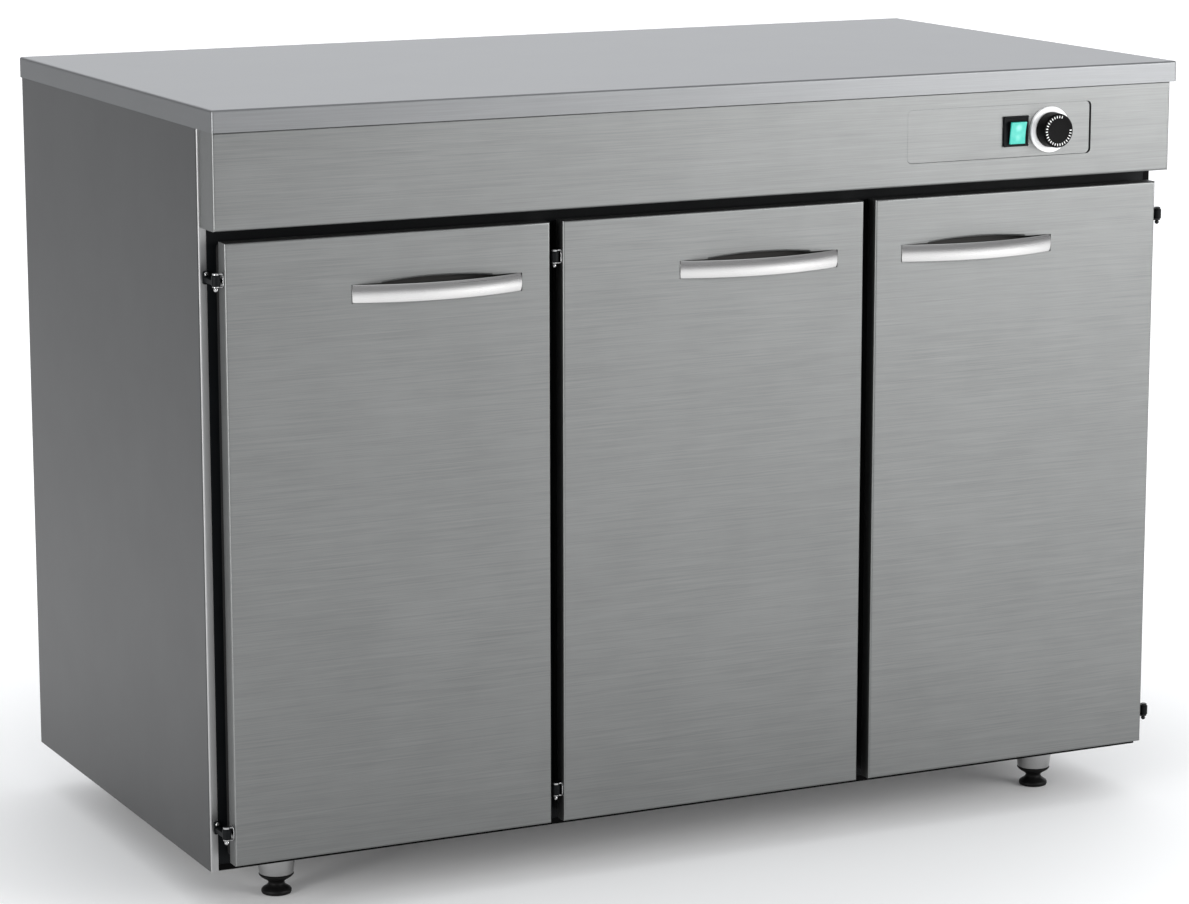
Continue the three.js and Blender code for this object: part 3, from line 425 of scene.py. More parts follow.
def moulded(name, dark, light, roughness, stipple, depth, sheen):
    finish, shader, maker = beginFinish(name)
    cloud = evenGrain(maker, stippled["cloud"], stippled["cloudDetail"])
    skin = evenGrain(maker, stipple)
    lead(blendColour(maker, cloud, dark, light), shader, "Base Color")
    lead(cloud * stippled["rough"] + (roughness - stippled["rough"] / 2), shader, "Roughness")
    lead(bumpOf(maker, skin, depth, stippled["strength"]), shader, "Normal")
    shader.inputs["Specular IOR Level"].default_value = sheen
    return finish


# Lit lens: two lamps behind it show as brighter spots
lensLook = {
    "spread": 6.5 * mm,
    "apart": 0.23,
    "dim": (0.02, 0.34, 0.28, 1),
    "lit": (0.55, 1.0, 0.92, 1),
    "dark": (0.01, 0.26, 0.21, 1),
    "light": (0.02, 0.32, 0.26, 1),
    "cloud": 400,
    "lampShare": 0.9,
    "strength": 0.7,
    "roughness": 0.2,
    "coat": 0.5,
}


def litLens(name):
    finish, shader, maker = beginFinish(name)
    low, high = sizes("switch_rocker")
    centre, reach = (low + high) / 2, lensLook["apart"] * (high.z - low.z)
    spot = onPiece(maker)
    spots = []
    for side in (-1, 1):
        lamp = (centre.x, low.y, centre.z + side * reach)
        away = maker.add("ShaderNodeVectorMath", {"operation": "DISTANCE"}, {0: spot, 1: lamp},
                         "Value")
        spots.append(rangeOf(maker, away, lensLook["spread"], 0.0, "SMOOTHSTEP"))
    cloud = evenGrain(maker, lensLook["cloud"])
    glow = (spots[0] + spots[1]) * lensLook["lampShare"] + cloud * (1 - lensLook["lampShare"])
    lead(blendColour(maker, cloud, lensLook["dark"], lensLook["light"]), shader, "Base Color")
    lead(blendColour(maker, glow, lensLook["dim"], lensLook["lit"]), shader, "Emission Color")
    shader.inputs["Emission Strength"].default_value = lensLook["strength"]
    shader.inputs["Roughness"].default_value = lensLook["roughness"]
    shader.inputs["Coat Weight"].default_value = lensLook["coat"]
    return finish


# Side panels and base keep their own meshes. The side steel is darkened as painted shade of the side faces; their
# front edges have another tone: painted light on the left flange, painted shade on the right flange and on the
# base's edge
sideLook = {"dark": shade(0.054, -0.012), "light": shade(0.084, -0.012), "roughness": 0.38,
            "cloud": 0.6, "flange": 0.8 * mm, "left": shade(0.34), "right": shade(0.003),
            "fold": 1.4 * mm, "foldSteps": 3, "foldFrom": 60}
# The base's near-black front edge is painted shade under the doors
baseLook = {"edge": 3 * mm, "edgeLightOrShade": shade(0.004)}


def sideSteelPaintedShade(name, side=None):
    front = None
    if side:
        front = (sizes("side_panel_" + side)[0].y + sideLook["flange"], sideLook[side])
    return brushedSteel(name, "z", sideLook["dark"], sideLook["light"], sideLook["roughness"],
                        sideLook["cloud"], front)


def baseSteel(name):
    front = (sizes("base_panel")[0].y + baseLook["edge"], baseLook["edgeLightOrShade"])
    return brushedSteel(name, "x", shade(0.2), shade(0.26), 0.42, front=front)


finishes = {
    "steel_top": brushedSteel("topSteel", "x", shade(0.172, -0.02), shade(0.214, -0.02), 0.42),
    "steel_front": brushedSteel("frontSteel", "x", shade(0.145, 0, 0.02), shade(0.207, 0, 0.02),
                                0.42, 0.4),
    # The side panels' dark steel is painted shade of the side faces
    "steel_side": sideSteelPaintedShade("sideSteelPaintedShade"),
    "left_panel": sideSteelPaintedShade("leftPanelPaintedShadeLitFlange", "left"),
    "right_panel": sideSteelPaintedShade("rightPanelPaintedShadeFlange", "right"),
    "base_panel": baseSteel("basePanelSteelShadedEdge"),
    "steel_inner": brushedSteel("innerSteel", "y", shade(0.36), shade(0.44), 0.42),
    "steel_handle": polished("handleSteel", shade(0.53, 0.01), shade(0.57, 0.01), 0.28),
    "chrome": polished("brightPlate", shade(0.34), shade(0.42), 0.2),
    # The dark plate is painted shade on the right door's forks
    "chrome_shaded": polished("paintedShadePlate", shade(0.02), shade(0.03), 0.3),
    "frame_black": moulded("frameBlack", shade(0.002, -0.2), shade(0.004, -0.2), 0.5, 1400,
                           0.05 * mm, 0.1),
    "foot_black": moulded("footBlack", shade(0.003), shade(0.006), 0.5, 1200, 0.05 * mm, 0.16),
    "knob_black": moulded("knobBlack", shade(0.0015), shade(0.003), 0.45, 1600, 0.03 * mm, 0.06),
    "gasket_black": moulded("sealBlack", shade(0.006), shade(0.01), 0.7, 900, 0.08 * mm, 0.2),
    "bezel_white": moulded("ringWhite", shade(0.93), shade(0.97), 0.4, 1500, 0.03 * mm, 0.3),
    "lens_lit": litLens("lensLit"),
    # The pocket's near-black steel is painted shade inside the finger slot
    "pocket": brushedSteel("pocketPaintedShadeSteel", "x", shade(0.03, 0.03), shade(0.05, 0.03), 0.5),
    "heater_steel": brushedSteel("heaterSteel", "y", shade(0.10, 0.05), shade(0.16, 0.05), 0.5),
}
ownFinish = {"side_panel_left": "left_panel", "side_panel_right": "right_panel",
             "base_panel": "base_panel"}


def dressNodes():
    for subpart in frame["record"]["subparts"]:
        node = frame["nodes"][subpart["node"]]
        finish = ownFinish.get(subpart["node"], subpart["material_slot"])
        node.data.materials.clear()
        node.data.materials.append(finishes[finish])
    for name in ("side_panel_left", "side_panel_right"):
        edge = frame["nodes"][name].modifiers.new("fold", "BEVEL")
        edge.width, edge.segments = sideLook["fold"], sideLook["foldSteps"]
        edge.limit_method, edge.angle_limit = "ANGLE", math.radians(sideLook["foldFrom"])
        edge.harden_normals = True


dressNodes()
print("finishes ready")


# Worktop: a tray turned down at its edges
worktopLook = {"fold": 2.6 * mm, "foldSteps": 5, "lip": 14 * mm, "sheet": 1.5 * mm,
               "leastUpright": 20 * mm}


def makeWorktop():
    low, high = sizes("worktop")
    piece = block("worktop_sheet", low, high)
    beginEdit(piece)
    pickFaces(lambda middle, normal: normal.z < -pickLook["facing"])
    insetPicked(worktopLook["lip"])
    push(z=high.z - low.z - 2 * worktopLook["sheet"])

    def onRim(a, b):
        return near(a.z, high.z) and near(b.z, high.z)

    def onOuterCorner(a, b):
        upright = near(a.x, b.x) and near(a.y, b.y) and abs(a.z - b.z) > worktopLook["leastUpright"]
        return upright and abs(abs(a.x) - high.x) < mm

    pickEdges(lambda a, b: onRim(a, b) or onOuterCorner(a, b))
    roundPicked(worktopLook["fold"], worktopLook["foldSteps"])
    finishEdit()
    settle(piece, "cabinet", "steel_top", finishes["steel_top"], "worktop")


makeWorktop()
print("worktop made")


# Bow handle: an arc section spun about an upright axis
handleLook = {
    "edge": 34.5 * mm,
    "length": 200 * mm,
    "height": 19.8 * mm,
    "drop": 53.8 * mm,
    "bow": 20 * mm,
    "crown": 1.8 * mm,
    "thickness": 2.0 * mm,
    "round": 0.9 * mm,
    "roundSteps": 3,
    "roundFrom": 50,
    "ringPoints": 192,
    "bowSteps": 56,
}


def stripSizes(door):
    low, high = sizes("door_skin_" + door)
    if door == "right":
        left = low.x + handleLook["edge"]
    else:
        left = high.x - handleLook["edge"] - handleLook["length"]
    top = high.z - handleLook["drop"]
    return {"left": left, "right": left + handleLook["length"], "top": top,
            "floor": top - handleLook["height"], "face": low.y}


def makeHandle():
    half, bow = handleLook["length"] / 2, handleLook["bow"]
    bend = (half * half + bow * bow) / (2 * bow)
    turn = 2 * math.asin(half / bend)
    rise, crown = handleLook["height"] / 2, handleLook["crown"]
    curve = (rise * rise + crown * crown) / (2 * crown)
    clearSelection()
    bpy.ops.mesh.primitive_circle_add(vertices=handleLook["ringPoints"], radius=curve,
                                      fill_type="NOTHING", rotation=(0, math.pi / 2, 0))
    strip = bpy.context.active_object
    strip.name = "handle_strip"
    setHome(strip)
    place(strip, (0, -bend + curve, 0))
    beginEdit(strip)
    # Only the ring's front arc stays
    for spot, way in (((0, 0, rise), (0, 0, 1)), ((0, 0, -rise), (0, 0, -1)),
                      ((0, -bend + curve, 0), (0, 1, 0))):
        pickAll()
        bpy.ops.mesh.bisect(plane_co=spot, plane_no=way, clear_outer=True)
    pickAll()
    bpy.ops.mesh.spin(steps=handleLook["bowSteps"], angle=turn, center=(0, 0, 0), axis=(0, 0, 1))
    finishEdit()
    place(strip, (0, 0, 0), (0, 0, turn / 2))
    # The spin may run either way, so a strip that came out to one side is turned back
    reach = [vertex.co.x for vertex in strip.data.vertices]
    if abs(min(reach) + max(reach)) > mm:
        place(strip, (0, 0, 0), (0, 0, -turn))
    applyModifier(strip, "SOLIDIFY", thickness=handleLook["thickness"], offset=0)
    applyModifier(strip, "BEVEL", width=handleLook["round"], segments=handleLook["roundSteps"],
                  limit_method="ANGLE", angle_limit=math.radians(handleLook["roundFrom"]))
    place(strip, (0, bend - bow, 0))
    return strip


def fitHandles():
    model = makeHandle()
    for door in doorNames:
        spot = stripSizes(door)
        middle = ((spot["left"] + spot["right"]) / 2, spot["face"],
                  (spot["top"] + spot["floor"]) / 2)
        strip = twin(model, "handle_" + door, middle)
        settle(strip, "door_" + door, "steel_handle", finishes["steel_handle"],
               "door_handle_" + door)
    drop(model)


# Doors: a slab with a finger slot arched at its top, open at the back for the inner panel
doorLook = {
    "fold": 2.5 * mm,
    "foldSteps": 5,
    "rim": 1.4 * mm,
    "backSink": 2.4 * mm,
    "slotDepth": 13 * mm,
    "slotLip": 2.2 * mm,
    "lipSteps": 4,
    "slotEdge": 0.25 * mm,
    "edgeSteps": 2,
    "level": 36 * mm,  # straight run at each end of the slot's top
    "rise": 3.6 * mm,
    "arcSteps": 16,
    "endGap": 0.3 * mm,
    "fit": 0.08 * mm,
    "weld": 0.02 * mm,
}


def makeDoor(door):
    low, high = sizes("door_skin_" + door)
    strip = stripSizes(door)
    left, right = strip["left"] - doorLook["endGap"], strip["right"] + doorLook["endGap"]
    floor, top = strip["floor"] - doorLook["fit"], strip["top"] + doorLook["fit"]
    ridge, hair = top + doorLook["rise"], mm / 10
    arcFrom, arcTo = strip["left"] + doorLook["level"], strip["right"] - doorLook["level"]
    arc, steps = arcTo - arcFrom, doorLook["arcSteps"]
    stations = [arcFrom + arc * step / steps for step in range(steps + 1)]
    piece = block("door_" + door, low, high)
    beginEdit(piece)
    pickAtDepth(low.y)
    roundPicked(doorLook["fold"], doorLook["foldSteps"])
    pickBack()
    insetPicked(doorLook["rim"])
    push(y=-doorLook["backSink"])
    for x in [left, right] + stations:
        cut((x, 0, 0), (1, 0, 0))
    for z in (floor, top, ridge):
        cut((0, 0, z), (0, 0, 1))
    # The ridge's points come down to an arc
    for x in stations:
        share = 2 * (x - arcFrom) / arc - 1
        pickPoints(lambda spot: near(spot.x, x) and near(spot.y, low.y) and near(spot.z, ridge))
        bpy.ops.transform.translate(value=(0, 0, -doorLook["rise"] * share * share))
    pickAll()
    bpy.ops.mesh.remove_doubles(threshold=doorLook["weld"])

    def inSlot(middle):
        level = left < middle.x < right and floor < middle.z < top
        return level or (arcFrom < middle.x < arcTo and top < middle.z < ridge)

    def onMouth(a, b):
        middle = (a + b) / 2
        inside = left - mm < middle.x < right + mm and floor - mm < middle.z < ridge + mm
        return near(a.y, low.y) and near(b.y, low.y) and inside

    pickFaces(lambda middle, normal: looksFront(normal) and near(middle.y, low.y) and
              inSlot(middle))
    push(y=doorLook["slotDepth"])
    pickCorners(lambda a, b: onMouth(a, b) and max(a.z, b.z) > top + hair)
    roundPicked(doorLook["slotLip"], doorLook["lipSteps"])
    pickCorners(lambda a, b: onMouth(a, b) and max(a.z, b.z) < top + hair)
    roundPicked(doorLook["slotEdge"], doorLook["edgeSteps"])
    finishEdit()
    settle(piece, "door_" + door, "steel_front", finishes["steel_front"], "door_skin_" + door)


# Liner of the finger slot, its steel darkened as painted shade inside the slot
pocketLook = {"behind": 1.6 * mm, "wall": 0.5 * mm, "depth": 11 * mm, "corner": 3 * mm,
              "cornerSteps": 4}


def makePocket(door):
    strip = stripSizes(door)
    wall, end = pocketLook["wall"], doorLook["endGap"] + pocketLook["wall"]
    face = strip["face"] + pocketLook["behind"]
    back = face + pocketLook["depth"]
    ridge = strip["top"] + doorLook["fit"] + doorLook["rise"]
    piece = block("pocket_" + door, (strip["left"] - end, face, strip["floor"] - wall),
                  (strip["right"] + end, back + wall, ridge + wall))
    beginEdit(piece)
    pickFaces(lambda middle, normal: looksFront(normal))
    insetPicked(2 * wall)
    push(y=pocketLook["depth"])
    pickAtDepth(back)
    roundPicked(pocketLook["corner"], pocketLook["cornerSteps"])
    finishEdit()
    settle(piece, "door_" + door, "steel_handle", finishes["pocket"])


for doorName in doorNames:
    makeDoor(doorName)
    makePocket(doorName)
fitHandles()
print("doors and handles made")


# Apron with its cut-out, and the inset control plate
apronLook = {
    "fold": 2.5 * mm,
    "foldSteps": 5,
    "sheet": 1.5 * mm,
    "face": 6 * mm,
    "windowDepth": 4 * mm,
    "windowCorner": 5.5 * mm,
    "cornerSteps": 6,
    "windowFold": 0.12 * mm,
    "windowFoldSteps": 3,
    "longest": 100 * mm,  # an upright edge past this is the apron's own
}
plateLook = {"reveal": 0.05 * mm, "underGap": 0.45 * mm, "endGap": 2.6 * mm, "flange": 8 * mm,
             "sink": 0.05 * mm, "edge": 0.1 * mm, "edgeSteps": 3, "depth": 2.6 * mm}


def windowSizes():
    low, high = sizes("control_plate")
    inset = plateLook["flange"]
    return low.x + inset, high.x - inset, low.z + inset, high.z - inset


def makeApron():
    low, high = sizes("front_apron")
    left, right, floor, top = windowSizes()
    deep, hair = apronLook["windowDepth"], mm / 4
    piece = block("apron", low, high)
    beginEdit(piece)
    pickAtDepth(low.y)
    roundPicked(apronLook["fold"], apronLook["foldSteps"])
    pickBack()
    insetPicked(apronLook["sheet"])
    push(y=-(high.y - low.y - apronLook["face"]))
    for x in (left, right):
        cut((x, 0, 0), (1, 0, 0))
    for z in (floor, top):
        cut((0, 0, z), (0, 0, 1))
    pickFaces(lambda middle, normal: looksFront(normal) and near(middle.y, low.y) and
              left < middle.x < right and floor < middle.z < top)
    push(y=deep)

    def onWindowCorner(a, b):
        straight = near(a.x, b.x) and near(a.z, b.z) and near(abs(a.y - b.y), deep)
        atSide = near(a.x, left) or near(a.x, right)
        return straight and atSide and (near(a.z, floor) or near(a.z, top))

    def onWindowMouth(a, b):
        middle = (a + b) / 2
        inside = left - hair < middle.x < right + hair and floor - hair < middle.z < top + hair
        outer = near(a.x, b.x) and abs(a.z - b.z) > apronLook["longest"]
        return near(a.y, low.y) and near(b.y, low.y) and inside and not outer

    pickEdges(onWindowCorner)
    roundPicked(apronLook["windowCorner"], apronLook["cornerSteps"])
    pickEdges(onWindowMouth)
    roundPicked(apronLook["windowFold"], apronLook["windowFoldSteps"])
    finishEdit()
    settle(piece, "cabinet", "steel_front", finishes["steel_front"], "front_apron")


def makePlate():
    left, right, floor, top = windowSizes()
    gap = plateLook["reveal"]
    face = sizes("front_apron")[0].y + plateLook["sink"]
    piece = block("control_plate_face", (left + gap, face, floor + plateLook["underGap"]),
                  (right - plateLook["endGap"], face + plateLook["depth"], top - gap))
    beginEdit(piece)
    pickAlong("y")
    roundPicked(apronLook["windowCorner"] - gap, apronLook["cornerSteps"])
    pickAtDepth(face)
    roundPicked(plateLook["edge"], plateLook["edgeSteps"])
    finishEdit()
    settle(piece, "cabinet", "steel_front", finishes["steel_front"], "control_plate")


makeApron()
makePlate()
print("apron made")


# Knob with a shallow dish, and its ring of ticks
knobLook = {
    "radius": 20.3 * mm,
    "draft": 0.5 * mm,
    "round": 2.2 * mm,
    "sides": 96,
    "rimIn": 0.6 * mm,
    "rimFall": 0.05 * mm,
    "dish": 0.3 * mm,
    "dishIn": 7 * mm,
    "floorIn": 8 * mm,
    "floorFall": 1.3,  # shares of the dish
    "middle": 4 * mm,
    "middleFall": 1.5,
}
tickLook = {"count": 25, "radius": 16.2 * mm, "length": 3.0 * mm, "width": 0.95 * mm,
            "first": 75.0, "step": 11.9, "rise": 0.25 * mm, "root": 0.35 * mm,
            "round": 0.12 * mm, "roundSteps": 2}


def makeKnob():
    low, high = sizes("thermostat_knob")
    centre, depth = (low + high) / 2, high.y - low.y
    edge, dish = knobLook["round"], knobLook["dish"]
    front = knobLook["radius"] - knobLook["draft"]
    rings = [(knobLook["radius"], 0.0), (front, depth - edge)]
    rings += quarterRound(front - edge, depth - edge, edge)
    rings += [(front - edge - knobLook["rimIn"], depth - knobLook["rimFall"]),
              (front - knobLook["dishIn"], depth - dish),
              (front - knobLook["floorIn"], depth - knobLook["floorFall"] * dish),
              (knobLook["middle"], depth - knobLook["middleFall"] * dish)]
    knob = turned("knob", rings, knobLook["sides"])
    place(knob, (centre.x, high.y, centre.z), (math.pi / 2, 0, 0))
    settle(knob, "dial", "knob_black", finishes["knob_black"], "thermostat_knob", angle=40)


def makeTicks():
    low, high = sizes("thermostat_knob")
    centre = (low + high) / 2
    wide, long = tickLook["width"] / 2, tickLook["length"] / 2
    rise, reach = tickLook["rise"], tickLook["radius"]
    model = block("tick", (-wide, -rise, -long), (wide, tickLook["root"], long))
    beginEdit(model)
    pickAtDepth(-rise)
    roundPicked(tickLook["round"], tickLook["roundSteps"])
    endEdit()
    ticks = []
    for step in range(tickLook["count"]):
        angle = math.radians(tickLook["first"] + tickLook["step"] * step)
        mark = twin(model, "tick_copy")
        place(mark, (centre.x + reach * math.cos(angle), low.y + rise,
                     centre.z + reach * math.sin(angle)), (0, math.pi / 2 - angle, 0))
        ticks.append(mark)
    drop(model)
    ring = weldTogether(ticks, "knob_ticks")
    settle(ring, "dial", "bezel_white", finishes["bezel_white"])


# White ring round the knob
ringLook = {"round": 1.8 * mm, "mouth": 20.9 * mm, "well": 20.7 * mm, "wellDepth": 0.8 * mm,
            "middle": 5 * mm, "middleDepth": 0.9 * mm, "sides": 96}


def makeRing():
    low, high = sizes("dial_bezel")
    centre, radius, depth = (low + high) / 2, (high.x - low.x) / 2, high.y - low.y
    edge = ringLook["round"]
    rings = [(radius, 0.0), (radius, depth - edge)]
    rings += quarterRound(radius - edge, depth - edge, edge)
    rings += [(ringLook["mouth"], depth), (ringLook["well"], depth - ringLook["wellDepth"]),
              (ringLook["middle"], depth - ringLook["middleDepth"])]
    ring = turned("dial_ring", rings, ringLook["sides"])
    place(ring, (centre.x, high.y, centre.z), (math.pi / 2, 0, 0))
    settle(ring, "cabinet", "bezel_white", finishes["bezel_white"], "dial_bezel", angle=40)


makeKnob()
makeTicks()
makeRing()


# Switch frame, and the rocker: a lit lens on a dark body
switchLook = {"corner": 2.2 * mm, "cornerSteps": 5, "edge": 0.5 * mm, "edgeSteps": 3,
              "rim": 2.6 * mm, "step": 0.4 * mm, "play": 0.6 * mm, "sink": 6 * mm,
              "depth": 12 * mm, "leastCorner": 10 * mm}
rockerLook = {"tilt": 8.0, "wide": 20 * mm, "tall": 25.5 * mm, "front": -12 * mm, "deep": 11 * mm,
              "lens": 1.6 * mm, "dish": 1.2 * mm, "steps": 10, "round": 0.5 * mm,
              "roundSteps": 3, "bodyGap": 0.2 * mm}


def makeSwitch():
    low, high = sizes("switch_housing")
    rockerLeft = sizes("switch_rocker")[0].x
    piece = block("switch_frame", low, (high.x, low.y + switchLook["depth"], high.z))
    beginEdit(piece)
    pickFaces(lambda middle, normal: looksFront(normal))
    insetPicked(switchLook["rim"])
    push(y=switchLook["step"])
    insetPicked(rockerLeft - low.x - switchLook["rim"] - switchLook["play"])
    push(y=switchLook["sink"])
    pickEdges(lambda a, b: near(a.x, b.x) and near(a.z, b.z) and
              abs(a.y - b.y) > switchLook["leastCorner"])
    roundPicked(switchLook["corner"], switchLook["cornerSteps"])
    pickAtDepth(low.y)
    roundPicked(switchLook["edge"], switchLook["edgeSteps"])
    finishEdit()
    settle(piece, "cabinet", "frame_black", finishes["frame_black"], "switch_housing")


# A bar across the rocker with a front dished from top to bottom
def dishedBar(name, front, back, wide, tall):
    piece = block(name, (-wide / 2, front, -tall / 2), (wide / 2, back, tall / 2))
    steps, dish = rockerLook["steps"], rockerLook["dish"]
    beginEdit(piece)
    for step in range(1, steps):
        cut((0, 0, -tall / 2 + tall * step / steps), (0, 0, 1))
    for step in range(1, steps):
        level, share = -tall / 2 + tall * step / steps, 2 * step / steps - 1
        pickPoints(lambda spot: near(spot.z, level) and near(spot.y, front))
        bpy.ops.transform.translate(value=(0, dish * (1 - share * share), 0))
    pickCorners(lambda a, b: max(a.y, b.y) < front + dish + mm / 10)
    roundPicked(rockerLook["round"], rockerLook["roundSteps"])
    finishEdit()
    return piece


def makeRocker():
    front, wide, tall = rockerLook["front"], rockerLook["wide"], rockerLook["tall"]
    gap = rockerLook["bodyGap"]
    lens = dishedBar("rocker_lens", front, front + rockerLook["dish"] + rockerLook["lens"],
                     wide, tall)
    core = dishedBar("rocker_body", front + rockerLook["lens"], front + rockerLook["deep"],
                     wide - gap, tall - gap)
    for piece in (lens, core):
        place(piece, pivotOf("rocker"), (math.radians(rockerLook["tilt"]), 0, 0))
    settle(lens, "rocker", "lens_lit", finishes["lens_lit"], "switch_rocker")
    settle(core, "rocker", "lens_lit", finishes["frame_black"])


makeRocker()
makeSwitch()
print("controls made")


# Hinges: a black arm with a barrel on the cabinet, a plated fork with its pin on the door
armLook = {
    "barrel": 4.9 * mm,
    "tall": 11.5 * mm,
    "lip": 0.7 * mm,
    "sides": 40,
    "wide": 6 * mm,
    "from": 2 * mm,
    "top": 0.2 * mm,
    "round": 0.8 * mm,
    "roundSteps": 3,
    "footHalf": 4 * mm,
    "footLow": 8 * mm,
    "footHigh": 6.5 * mm,
    "footThick": 2 * mm,
    "footCorner": 2.5 * mm,
    "cornerSteps": 5,
}
forkLook = {
    "gap": 0.4 * mm,
    "sides": 40,
    "collar": 3.9 * mm,
    "collarTall": 2.2 * mm,
    "collarEdge": 1.0 * mm,
    "collarMouth": 1.3 * mm,
    "brim": 1.0 * mm,
    "brimEdge": 1.3 * mm,
    "brimUnder": 1.4 * mm,
    "neck": 0.6,  # share of the dome's radius
    "dome": 2.6 * mm,
    "domeDrop": 3.6 * mm,
    "domeTurns": range(-40, 81, 20),
    "plateFar": 7.45 * mm,
    "plateHalf": 5 * mm,
    "plateBack": 1.5 * mm,
    "plateThick": 1.0 * mm,
    "plateDrop": 2.6 * mm,
    "plateCurve": 0.98,  # share of the half width that is rounded off
    "curveSteps": 9,
    "round": 0.4 * mm,
    "roundSteps": 3,
    "lugHalf": 2.2 * mm,
    "lugShort": 0.5 * mm,
    "lugSteps": 2,
    "upperLug": (0.3 * mm, 0.6 * mm),  # above the collar's foot, under its top
    "lowerLug": (1.2 * mm, 0.2 * mm),  # both under the barrel's end
}
screwLook = {"radius": 2.6 * mm, "rise": 3.4 * mm, "skirt": 0.4 * mm, "dome": 1.1 * mm,
             "stepTurn": 16, "steps": 5, "sides": 28}


def makeArm():
    tall, radius, lip = armLook["tall"], armLook["barrel"], armLook["lip"]
    barrel = turned("barrel", [(radius - lip, -tall / 2), (radius, -tall / 2 + lip),
                               (radius, tall / 2 - lip), (radius - lip, tall / 2)],
                    armLook["sides"])
    reach = sizes("hinge_arm_left_upper")[1].y - pivotOf("door_left").y
    wide, half, thick = armLook["wide"] / 2, armLook["footHalf"], armLook["footThick"]
    arm = block("arm", (-wide, armLook["from"], -tall / 2 + lip / 2),
                (wide, reach - thick / 2, armLook["top"]))
    beginEdit(arm)
    pickAlong("y")
    roundPicked(armLook["round"], armLook["roundSteps"])
    finishEdit()
    foot = block("arm_foot", (-half, reach - thick, -armLook["footLow"]),
                 (half, reach, armLook["footHigh"]))
    beginEdit(foot)
    pickAlong("y")
    roundPicked(armLook["footCorner"], armLook["cornerSteps"])
    pickAtDepth(reach - thick)
    roundPicked(armLook["round"], armLook["roundSteps"])
    finishEdit()
    return weldTogether([barrel, arm, foot], "hinge_arm_model")


def makeFork():
    base = armLook["tall"] / 2 + forkLook["gap"]
    low, high = -base, base + forkLook["collarTall"]
    collar, dome = forkLook["collar"], forkLook["dome"]
    edge, sides = forkLook["round"], forkLook["sides"]
    top = turned("collar", [(collar, base), (collar, high - forkLook["collarEdge"]),
                            (collar - edge, high - edge),
                            (collar - forkLook["collarMouth"], high)], sides)
    pinEnd = [(collar, low), (collar, low - forkLook["brim"]),
              (collar - edge, low - forkLook["brimEdge"]),
              (dome * forkLook["neck"], low - forkLook["brimUnder"])]
    for degrees in forkLook["domeTurns"]:
        turn = math.radians(degrees)
        pinEnd.append((dome * math.cos(turn), low - forkLook["domeDrop"] - dome * math.sin(turn)))
    bottom = turned("pin_end", pinEnd, sides)
    far, half, back = forkLook["plateFar"], forkLook["plateHalf"], forkLook["plateBack"]
    face = far - forkLook["plateThick"]
    plate = block("edge_plate", (face, back - half, low - forkLook["plateDrop"]),
                  (far, back + half, high))
    beginEdit(plate)
    pickAlong("x")
    roundPicked(half * forkLook["plateCurve"], forkLook["curveSteps"])
    pickEdges(lambda a, b: near(a.x, face) and near(b.x, face))
    roundPicked(edge, forkLook["roundSteps"])
    finishEdit()
    upper, lower = forkLook["upperLug"], forkLook["lowerLug"]
    lugs = []
    for lugFloor, lugTop in ((base + upper[0], high - upper[1]), (low - lower[0], low - lower[1])):
        lug = block("lug", (0, -forkLook["lugHalf"], lugFloor),
                    (far - forkLook["lugShort"], forkLook["lugHalf"], lugTop))
        beginEdit(lug)
        pickAlong("x")
        roundPicked(edge, forkLook["lugSteps"])
        finishEdit()
        lugs.append(lug)
    return weldTogether([top, bottom, plate] + lugs, "hinge_fork_model")


# Domed screw head that holds an arm's foot
def makeScrew():
    radius, skirt = screwLook["radius"], screwLook["skirt"]
    rings = [(radius, 0.0), (radius, skirt)]
    for step in range(1, screwLook["steps"] + 1):
        turn = math.radians(screwLook["stepTurn"] * step)
        rings.append((radius * math.cos(turn), skirt + screwLook["dome"] * math.sin(turn)))
    screw = turned("screw_model", rings, screwLook["sides"])
    place(screw, (0, 0, 0), (math.pi / 2, 0, 0))
    return screw


def fitHinges():
    armModel, forkModel, screwModel = makeArm(), makeFork(), makeScrew()
    for door in doorNames:
        pivot = pivotOf("door_" + door)
        # The right door's forks stand in the shade of the panel; their plate is darkened as painted shade
        platingOrPaintedShade = finishes["chrome_shaded"] if door == "right" else finishes["chrome"]
        for level in hingeLevels:
            armName, forkName = f"hinge_arm_{door}_{level}", f"hinge_fork_{door}_{level}"
            low, high = sizes(armName)
            spot = Vector((pivot.x, pivot.y, (low.z + high.z) / 2))
            arm = twin(armModel, armName + "_body", spot)
            fork = twin(forkModel, forkName + "_body", spot)
            if door == "right":
                flipped = twin(fork, forkName + "_flip", mirrorAt=pivot.x)
                drop(fork)
                fork = flipped
                fork.name = forkName + "_body"
            screw = twin(screwModel, f"hinge_screw_{door}_{level}",
                         (pivot.x, high.y - armLook["footThick"], spot.z + screwLook["rise"]))
            settle(arm, "cabinet", "frame_black", finishes["frame_black"], armName)
            settle(fork, "door_" + door, "chrome", platingOrPaintedShade, forkName)
            settle(screw, "cabinet", "chrome", finishes["chrome"], angle=40)
    drop(armModel, forkModel, screwModel)


fitHinges()
print("hinges made")


